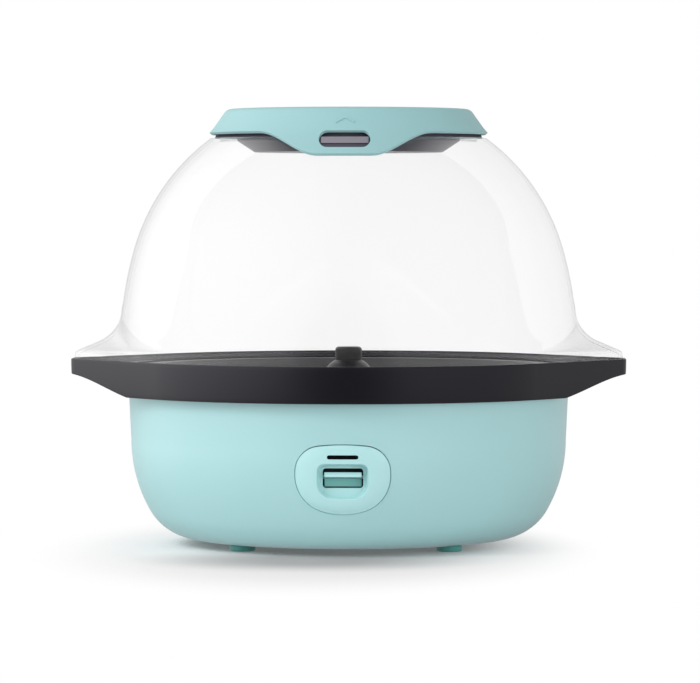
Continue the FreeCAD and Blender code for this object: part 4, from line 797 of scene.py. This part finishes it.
def ring_mesh():
    """A closed section carried round the plan: rising lug underside, crowned wall, lip, seat and deck."""
    angles = lemon_angles(PLAN_COLUMNS)
    level = np.zeros_like(angles)
    low_z = level + RING_BOTTOM
    for _ in range(4):
        outer = lemon_reach(angles, wall_inset(low_z))
        low_z = lug_underside(outer * np.cos(angles))
    under_r = GROOVE_OUTER + (outer - GROOVE_OUTER) * np.linspace(0, 1, 12)[:, None]
    under_z = lug_underside(under_r * np.cos(angles))
    wall_z = low_z + (RING_TOP - low_z) * np.linspace(0, 1, 9)[1:-1, None]
    wall_r = lemon_reach(angles, wall_inset(wall_z))
    top, lip = lemon_reach(angles, 0), lemon_reach(angles, LIP_INSET)

    def at(radius, height):
        return np.stack([radius + level, height + level], axis=-1)

    groove = [
        at(RING_HOLE, RING_BOTTOM), at(GROOVE_INNER, RING_BOTTOM),
        at(GROOVE_INNER, GROOVE_TOP), at(GROOVE_OUTER, GROOVE_TOP),
    ]
    under = [at(radius, height) for radius, height in zip(under_r, under_z)]
    wall = [at(radius, height) for radius, height in zip(wall_r, wall_z)]
    crest = [
        at(top, RING_TOP), at(lip, RING_TOP), at(lip, BRIM_SEAT),
        at(DECK_RADIUS, BRIM_SEAT), at(DECK_RADIUS, DECK_Z), at(RING_HOLE, DECK_Z),
    ]
    plain = [0] * (len(groove) + len(under) - 1)
    radii = plain + [UNDER_ROUND] + [0] * len(wall) + [LIP_ROUND, LIP_ROUND, SEAT_ROUND, 0, DECK_ROUND, 0]
    section = rounded(np.array(groove + under + wall + crest), radii, closed=True)
    body = patch(turned(section, angles), close_rows=True, close_columns=True)
    return join([body], inside=(0, 0, RING_BOTTOM))


# Base housing and controls

def housing_mesh():
    """The bowl turned about its axis, with the front block re-drawn as spokes round the bezel's opening."""
    floor = np.stack([np.linspace(COVER_RADIUS, HEEL_X, 4)[:-1], np.full(3, FOOT_HEIGHT)], axis=-1)
    heel = arc((HEEL_X, HEEL_Z), HEEL_ARC, -math.pi / 2, -SIDE_SWEEP, 22)
    side = arc((SIDE_CENTRE, SHOULDER_Z), SIDE_ARC, -SIDE_SWEEP, 0, 22)[1:]
    rim_z = np.concatenate([np.linspace(SHOULDER_Z, RING_BOTTOM, 10)[1:], [HOUSING_RIM_Z]])
    rim = np.stack([bowl_radius(rim_z), rim_z], axis=-1)
    section = np.concatenate([floor, heel, side, rim])
    angles, columns = front_columns(180, BOWL_FRONT)
    grid = turned(section[:, None, :], angles)
    rows = tuple(int(np.argmax(section[:, 1] > height)) for height in (FRONT_LOW, FRONT_HIGH))
    edge = rectangle_loop(grid, rows, columns)[:, [0, 2]]
    crowding = 1.4
    shares = 1 - (1 - np.linspace(0, 1, 13)) ** crowding
    spokes = between_loops(edge, dense(egg_loop(BEZEL_GAP), 0.4), BEZEL_HUB, shares)
    return join([
        patch(grid, close_columns=True, skip=(rows, columns)),
        patch(on_front(spokes, bowl_radius), close_columns=True),
    ], inside=(0, 0, BEZEL_HIGH))


def on_bezel(plan):
    """Points of a front view put onto the bezel: the bowl's surface plus a swell that ends at the outline."""
    away = plan - BEZEL_HUB
    reach = loop_reach(dense(egg_loop(0), 0.5), BEZEL_HUB, np.arctan2(away[..., 1], away[..., 0]))
    share = np.minimum(np.linalg.norm(away, axis=-1) / reach, 1)
    upright = BEZEL_UPRIGHT * (bowl_radius(BEZEL_HIGH) - bowl_radius(plan[..., 1]))
    swell = BEZEL_PROUD + (BEZEL_SWELL + upright) * (1 - share ** BEZEL_FLATNESS)
    return on_front(plan, lambda z: bowl_radius(z) + swell)


def split_egg():
    """The face's outline, and the two loops that a level line between lamp and switch cuts it into."""
    egg = dense(egg_loop(-BEZEL_ROUND), 0.9)
    off_line, wrong_side = np.abs(egg[:, 1] - BEZEL_SPLIT), 100
    start = int(np.argmin(off_line + wrong_side * (egg[:, 0] < 0)))
    egg, off_line = np.roll(egg, -start, axis=0), np.roll(off_line, -start)
    end = int(np.argmin(off_line + wrong_side * (egg[:, 0] > 0)))
    egg[0, 1] = egg[end, 1] = BEZEL_SPLIT
    line_x = np.linspace(egg[0, 0], egg[end, 0], 41)[1:-1]
    line = np.stack([line_x, np.full_like(line_x, BEZEL_SPLIT)], axis=-1)
    upper = np.concatenate([egg[:end + 1], line[::-1]])
    lower = np.concatenate([egg[end:], egg[:1], line])
    return egg, upper, lower


def lamp_half(edge):
    """The face above the line: spokes in to the lamp's slot, and the slot's wall."""
    slot = dense(slot_loop(LAMP_HALF, LAMP_Z, LAMP_HEIGHT), 0.2)
    face = on_bezel(between_loops(edge, slot, np.array([0, LAMP_Z]), np.linspace(0, 1, 9)))
    wall = np.stack([face[-1], face[-1] + [0, LAMP_WALL, 0]])
    return tubes(face, wall)


def switch_half(edge):
    """The face below the line: spokes in to the recess, its S-shaped wall, its flat floor and the window."""
    centre = np.array([0, (WINDOW_LOW + WINDOW_HIGH) / 2])
    brink = dense(panel_loop(RECESS_HALF, RECESS_LOW, RECESS_HIGH, *RECESS_CORNERS), 0.3)
    spokes = between_loops(edge, brink, centre, np.linspace(0, 1, 14))
    face = on_bezel(spokes)
    foot = dense(panel_loop(RECESS_HALF - RECESS_RUN, RECESS_LOW + RECESS_LOW_RUN, RECESS_HIGH - RECESS_RUN,
                            *PAN_CORNERS), 0.3)
    shares = np.linspace(0, 1, 15)
    slope = between_loops(spokes[-1], foot, centre, shares)
    steepness, delay = 1.3, 0.15
    sink = ease(np.clip(steepness * shares - delay, 0, 1))[:, None]
    wall_y = face[-1, :, 1] * (1 - sink) - RECESS_FLOOR * sink
    wall = np.stack([slope[..., 0], wall_y, slope[..., 1]], axis=-1)
    opening = dense(panel_loop(WINDOW_HALF, WINDOW_LOW, WINDOW_HIGH, WINDOW_ROUND, WINDOW_ROUND), 0.3)
    pan = between_loops(slope[-1], opening, centre, np.linspace(0, 1, 6))
    floor = np.stack([pan[..., 0], np.full(pan.shape[:2], -RECESS_FLOOR), pan[..., 1]], axis=-1)
    window = np.stack([floor[-1] + [0, depth, 0] for depth in (0, WINDOW_WALL / 10, WINDOW_WALL)])
    return tubes(face, wall, floor, window)


def bezel_rim(egg):
    """The bezel's edge: the outline spread along a quarter round, then a short wall straight back."""
    turns = np.linspace(0, math.pi / 2, 5)
    face_y = on_bezel(egg) * [0, 1, 0]
    rows = []
    for out, down in zip(BEZEL_ROUND * np.sin(turns), BEZEL_ROUND * (1 - np.cos(turns))):
        rows.append(face_y + np.insert(egg + unit(egg - BEZEL_HUB) * out, 1, down, axis=1))
    rows.append(rows[-1] + [0, BEZEL_DEPTH, 0])
    return tubes(np.stack(rows))


def bezel_mesh():
    """A face that swells out of the bowl, with the lamp's slot over a soft-walled recess and its window."""
    egg, upper, lower = split_egg()
    return join(bezel_rim(egg) + lamp_half(upper) + switch_half(lower), inside=(0, 0, BEZEL_SIDE))


def lens_mesh():
    """A dark lens that fills the slot: spokes from its round-ended outline to a slightly crowned middle."""
    outline = dense(slot_loop(LAMP_HALF - LENS_GAP, LAMP_Z, LAMP_HEIGHT - 2 * LENS_GAP), 0.3)
    shares = np.array([0, 0.1, 0.3, 0.6, 0.97])
    spine_share, sunk, crown = 0.86, 0.25, 0.2
    spine = outline * [spine_share, 0] + [0, LAMP_Z]
    plan = outline * (1 - shares[:, None, None]) + spine * shares[:, None, None]
    lifts = BEZEL_SWELL - sunk + crown * np.sqrt(shares)
    front = np.stack([on_front(row, lambda z: bowl_radius(z) + lift) for row, lift in zip(plan, lifts)])
    side = np.stack([front[0] + [0, LENS_WALL, 0], front[0]])
    return join(tubes(side, front) + [lid(front[-1])], inside=(0, 0, LAMP_Z))


def rocker_mesh():
    """The rocker's side outline carried across its width: a finger bar over a hollow, in a painted lit tone
    and a painted shaded tone.
    """
    top = [-ROCKER_Y - 5.6, ROCKER_Z + 3.0]
    ridge = [-ROCKER_Y - 7.6, ROCKER_Z + 0.4]
    hollow = [-ROCKER_Y - 0.6, ROCKER_Z - 0.6]
    foot = [-ROCKER_Y - 1.2, ROCKER_Z - 6.3]
    heel = [-ROCKER_Y + 3.4, ROCKER_Z - 4.6]
    back = [-ROCKER_Y + 3.8, ROCKER_Z + 2.4]
    corners = np.array([top, ridge, hollow, foot, heel, back])[:, None, :]
    outline = rounded(corners, (0.9, 0.5, 0.6, 0.6, 1.2, 1.2), closed=True, steps=6)[:, 0, :]
    mesh = bar(outline, ROCKER_HALF, (0, -ROCKER_Y + 1, ROCKER_Z))
    centres = np.empty(len(mesh.polygons) * 3)
    mesh.polygons.foreach_get("center", centres)
    # The faces below the rocker's middle take the second finish, the hollow's painted shade.
    painted_shade_faces = centres.reshape(-1, 3)[:, 2] < ROCKER_Z * MM
    mesh.polygons.foreach_set("material_index", painted_shade_faces.astype(np.int32))
    return mesh


# Cap and catch

CAP_EDGE = CAP_RIM - (CAP_TOP - CAP_RIM_Z) * math.tan(CAP_SLANT)


def cap_radius(z):
    """Outer radius of the cap's side at a height: the cap's slant, opening smoothly into the tab's flare."""
    slant = math.tan(CAP_SLANT)
    flare = (TAB_REACH - CAP_RIM) / (CAP_RIM_Z - TAB_BOTTOM)
    below = CAP_RIM_Z - z
    blend = np.clip((below + TAB_BEND) / (2 * TAB_BEND), 0, 1)
    opening = np.maximum(below - TAB_BEND, 0) + TAB_BEND * blend ** 2
    return CAP_RIM + slant * below + (flare - slant) * opening


def tab_edge(x):
    """Height of the cap's lower edge by distance from the middle: the tab's flat, an S curve, the rim."""
    share = np.clip((np.abs(x) - TAB_FLAT) / (TAB_ROOT - TAB_FLAT), 0, 1)
    return TAB_BOTTOM + (CAP_RIM_Z - TAB_BOTTOM) * ease(share)


def cap_mesh():
    """The top disc, a round edge and a slanting side down to the edge line, with spokes round the slot."""
    angles, columns = front_columns(150, CAP_FRONT)
    away = angles + math.pi / 2
    low_z = np.full_like(angles, CAP_RIM_Z)
    facing = np.cos(away) > 0
    for _ in range(12):
        low_z = np.where(facing, tab_edge(cap_radius(low_z) * np.sin(away)), CAP_RIM_Z)
    run = CAP_ROUND * math.tan((math.pi / 2 - CAP_SLANT) / 2)
    shoulder = arc((CAP_EDGE - run, CAP_TOP - CAP_ROUND), CAP_ROUND, math.pi / 2, CAP_SLANT, 8)
    disc = np.stack([np.linspace(0, shoulder[0, 0], 12)[:-1], np.full(11, CAP_TOP)], axis=-1)
    top = np.concatenate([disc, shoulder])[:, None, :] + np.zeros((1, len(angles), 1))
    shares = np.linspace(0, 1, 19)[1:, None]
    side_z = shoulder[-1, 1] + (low_z - shoulder[-1, 1]) * shares
    section = np.concatenate([top, np.stack([cap_radius(side_z), side_z], axis=-1)])
    grid = turned(section, angles)
    rows = (len(top) + 1, len(section) - 3)
    edge = rectangle_loop(grid, rows, columns)[:, [0, 2]]
    slot = dense(slot_loop(SLOT_HALF, SLOT_Z, SLOT_HEIGHT), 0.3)
    spokes = between_loops(edge, slot, np.array([0, SLOT_Z]), np.linspace(0, 1, 9))
    return join([
        patch(grid, close_columns=True, skip=(rows, columns)),
        patch(on_front(spokes, cap_radius), close_columns=True),
    ], inside=(0, 0, 200))


def knuckle_mesh():
    """The hinge knuckle: a round barrel along X whose front runs out in a flat web under the cap's rim."""
    start, end = math.radians(-140), math.radians(120)
    barrel = arc((HINGE_Y, HINGE_Z), KNUCKLE, start, end, 30)
    web_y = CAP_RIM - WEB_INSET
    web = np.array([[web_y, HINGE_Z + WEB_RISE], [web_y, CAP_RIM_Z + WEB_LIFT]])
    return bar(np.concatenate([barrel, web]), KNUCKLE_HALF, (0, HINGE_Y, HINGE_Z))


def mark_mesh():
    """A raised chevron on the cap's front: a bent band of even width laid on the slanting side."""
    x = np.linspace(-MARK_HALF, MARK_HALF, 41)
    bluntness = 0.01
    ridge = MARK_Z + MARK_RISE * (0.5 - np.sqrt((x / MARK_HALF) ** 2 + bluntness))
    rows = []
    for side, lift in ((-1, MARK_SUNK), (-1, MARK_PROUD), (1, MARK_PROUD), (1, MARK_SUNK)):
        plan = np.stack([x, ridge + side * MARK_WIDTH / 2], axis=-1)
        rows.append(on_front(plan, lambda z: cap_radius(z) + lift))
    band = np.stack(rows)
    return join([patch(band, close_rows=True), lid(band[:, 0]), lid(band[:, -1])], inside=(0, -60, MARK_Z))


def front_plate(half, low, high, near, far):
    """A closed plate over a front view's rectangle, between two radii that go with the height."""
    rows, columns = 12, 24
    x, z = np.meshgrid(np.linspace(-half, half, columns + 1), np.linspace(low, high, rows + 1))
    plan = np.stack([x, z], axis=-1)
    faces = [on_front(plan, radius_at) for radius_at in (near, far)]
    rim = np.stack([rectangle_loop(face, (0, rows), (0, columns)) for face in faces])
    return join([*map(patch, faces), patch(rim, close_columns=True)])


def catch_back(z):
    """Radius of the catch's back at a height, just clear of the dome's front."""
    return dome_radius(z) + LATCH_GAP


def catch_mesh():
    """The thin plate behind the slot, which follows the dome's front; it is dark grey as painted shade for
    the slot's upper band.
    """
    return front_plate(LATCH_HALF, LATCH_LOW, LATCH_HIGH, catch_back, lambda z: catch_back(z) + LATCH_THICK)


def latch_mesh():
    """The catch that shows in the slot: a wedge on the plate with a straight leaning front, in a lighter grey
    as painted light.
    """
    def front(z):
        share = (HOOK_HIGH - z) / (HOOK_HIGH - HOOK_LOW)
        return HOOK_TOP_REACH + (HOOK_LOW_REACH - HOOK_TOP_REACH) * share

    return front_plate(HOOK_HALF, HOOK_LOW, HOOK_HIGH, catch_back, front)


def make_pieces():
    """Every re-drawn piece, in place of its solid."""
    make_piece("clear_dome", dome_mesh(), "dome", "clear_plastic", ("dome_bowl",), wall=DOME_WALL, sharp=50,
               second="clear_inside")
    make_piece("handle_band", ring_mesh(), "base", "ring_black", ("handle_ring",), sharp=30)
    make_piece("bowl_shell", housing_mesh(), "base", "housing_teal", ("base_housing",), wall=HOUSING_WALL,
               edge=0.4)
    make_piece("control_face", bezel_mesh(), "base", "housing_teal", ("control_bezel",), sharp=50,
               finish="control_teal")
    make_piece("lamp_window", lens_mesh(), "base", "black_lens", ("lamp_lens",), sharp=50)
    # The rocker's bar and hollow take a painted lit teal and a painted shaded teal.
    make_piece("rocker_key", rocker_mesh(), "rocker", "housing_teal", ("rocker",), edge=0.45,
               finish="lit_bar_teal", second="shaded_hollow_teal")
    make_piece("cap_cover", cap_mesh(), "cap", "cap_teal", ("top_cap",), wall=CAP_WALL, edge=0.8)
    make_piece("lift_mark", mark_mesh(), "cap", "cap_teal", edge=0.2)
    # Painted shade and light in the slot: a dark plate where the slot lies in shade, a lighter bar where
    # light reaches.
    make_piece("catch_plate", catch_mesh(), "dome", "tray_grey", ("cap_catch",), sharp=30)
    make_piece("latch_bar", latch_mesh(), "dome", "tray_grey", edge=0.9, finish="latch_grey")
    make_piece("cap_knuckle", knuckle_mesh(), "cap", "cap_teal", edge=0.4)


make_camera()
make_world()
make_floor()
make_lights()
make_materials()
dress_nodes()
make_pieces()
bpy.context.scene.view_settings.view_transform = "Standard"
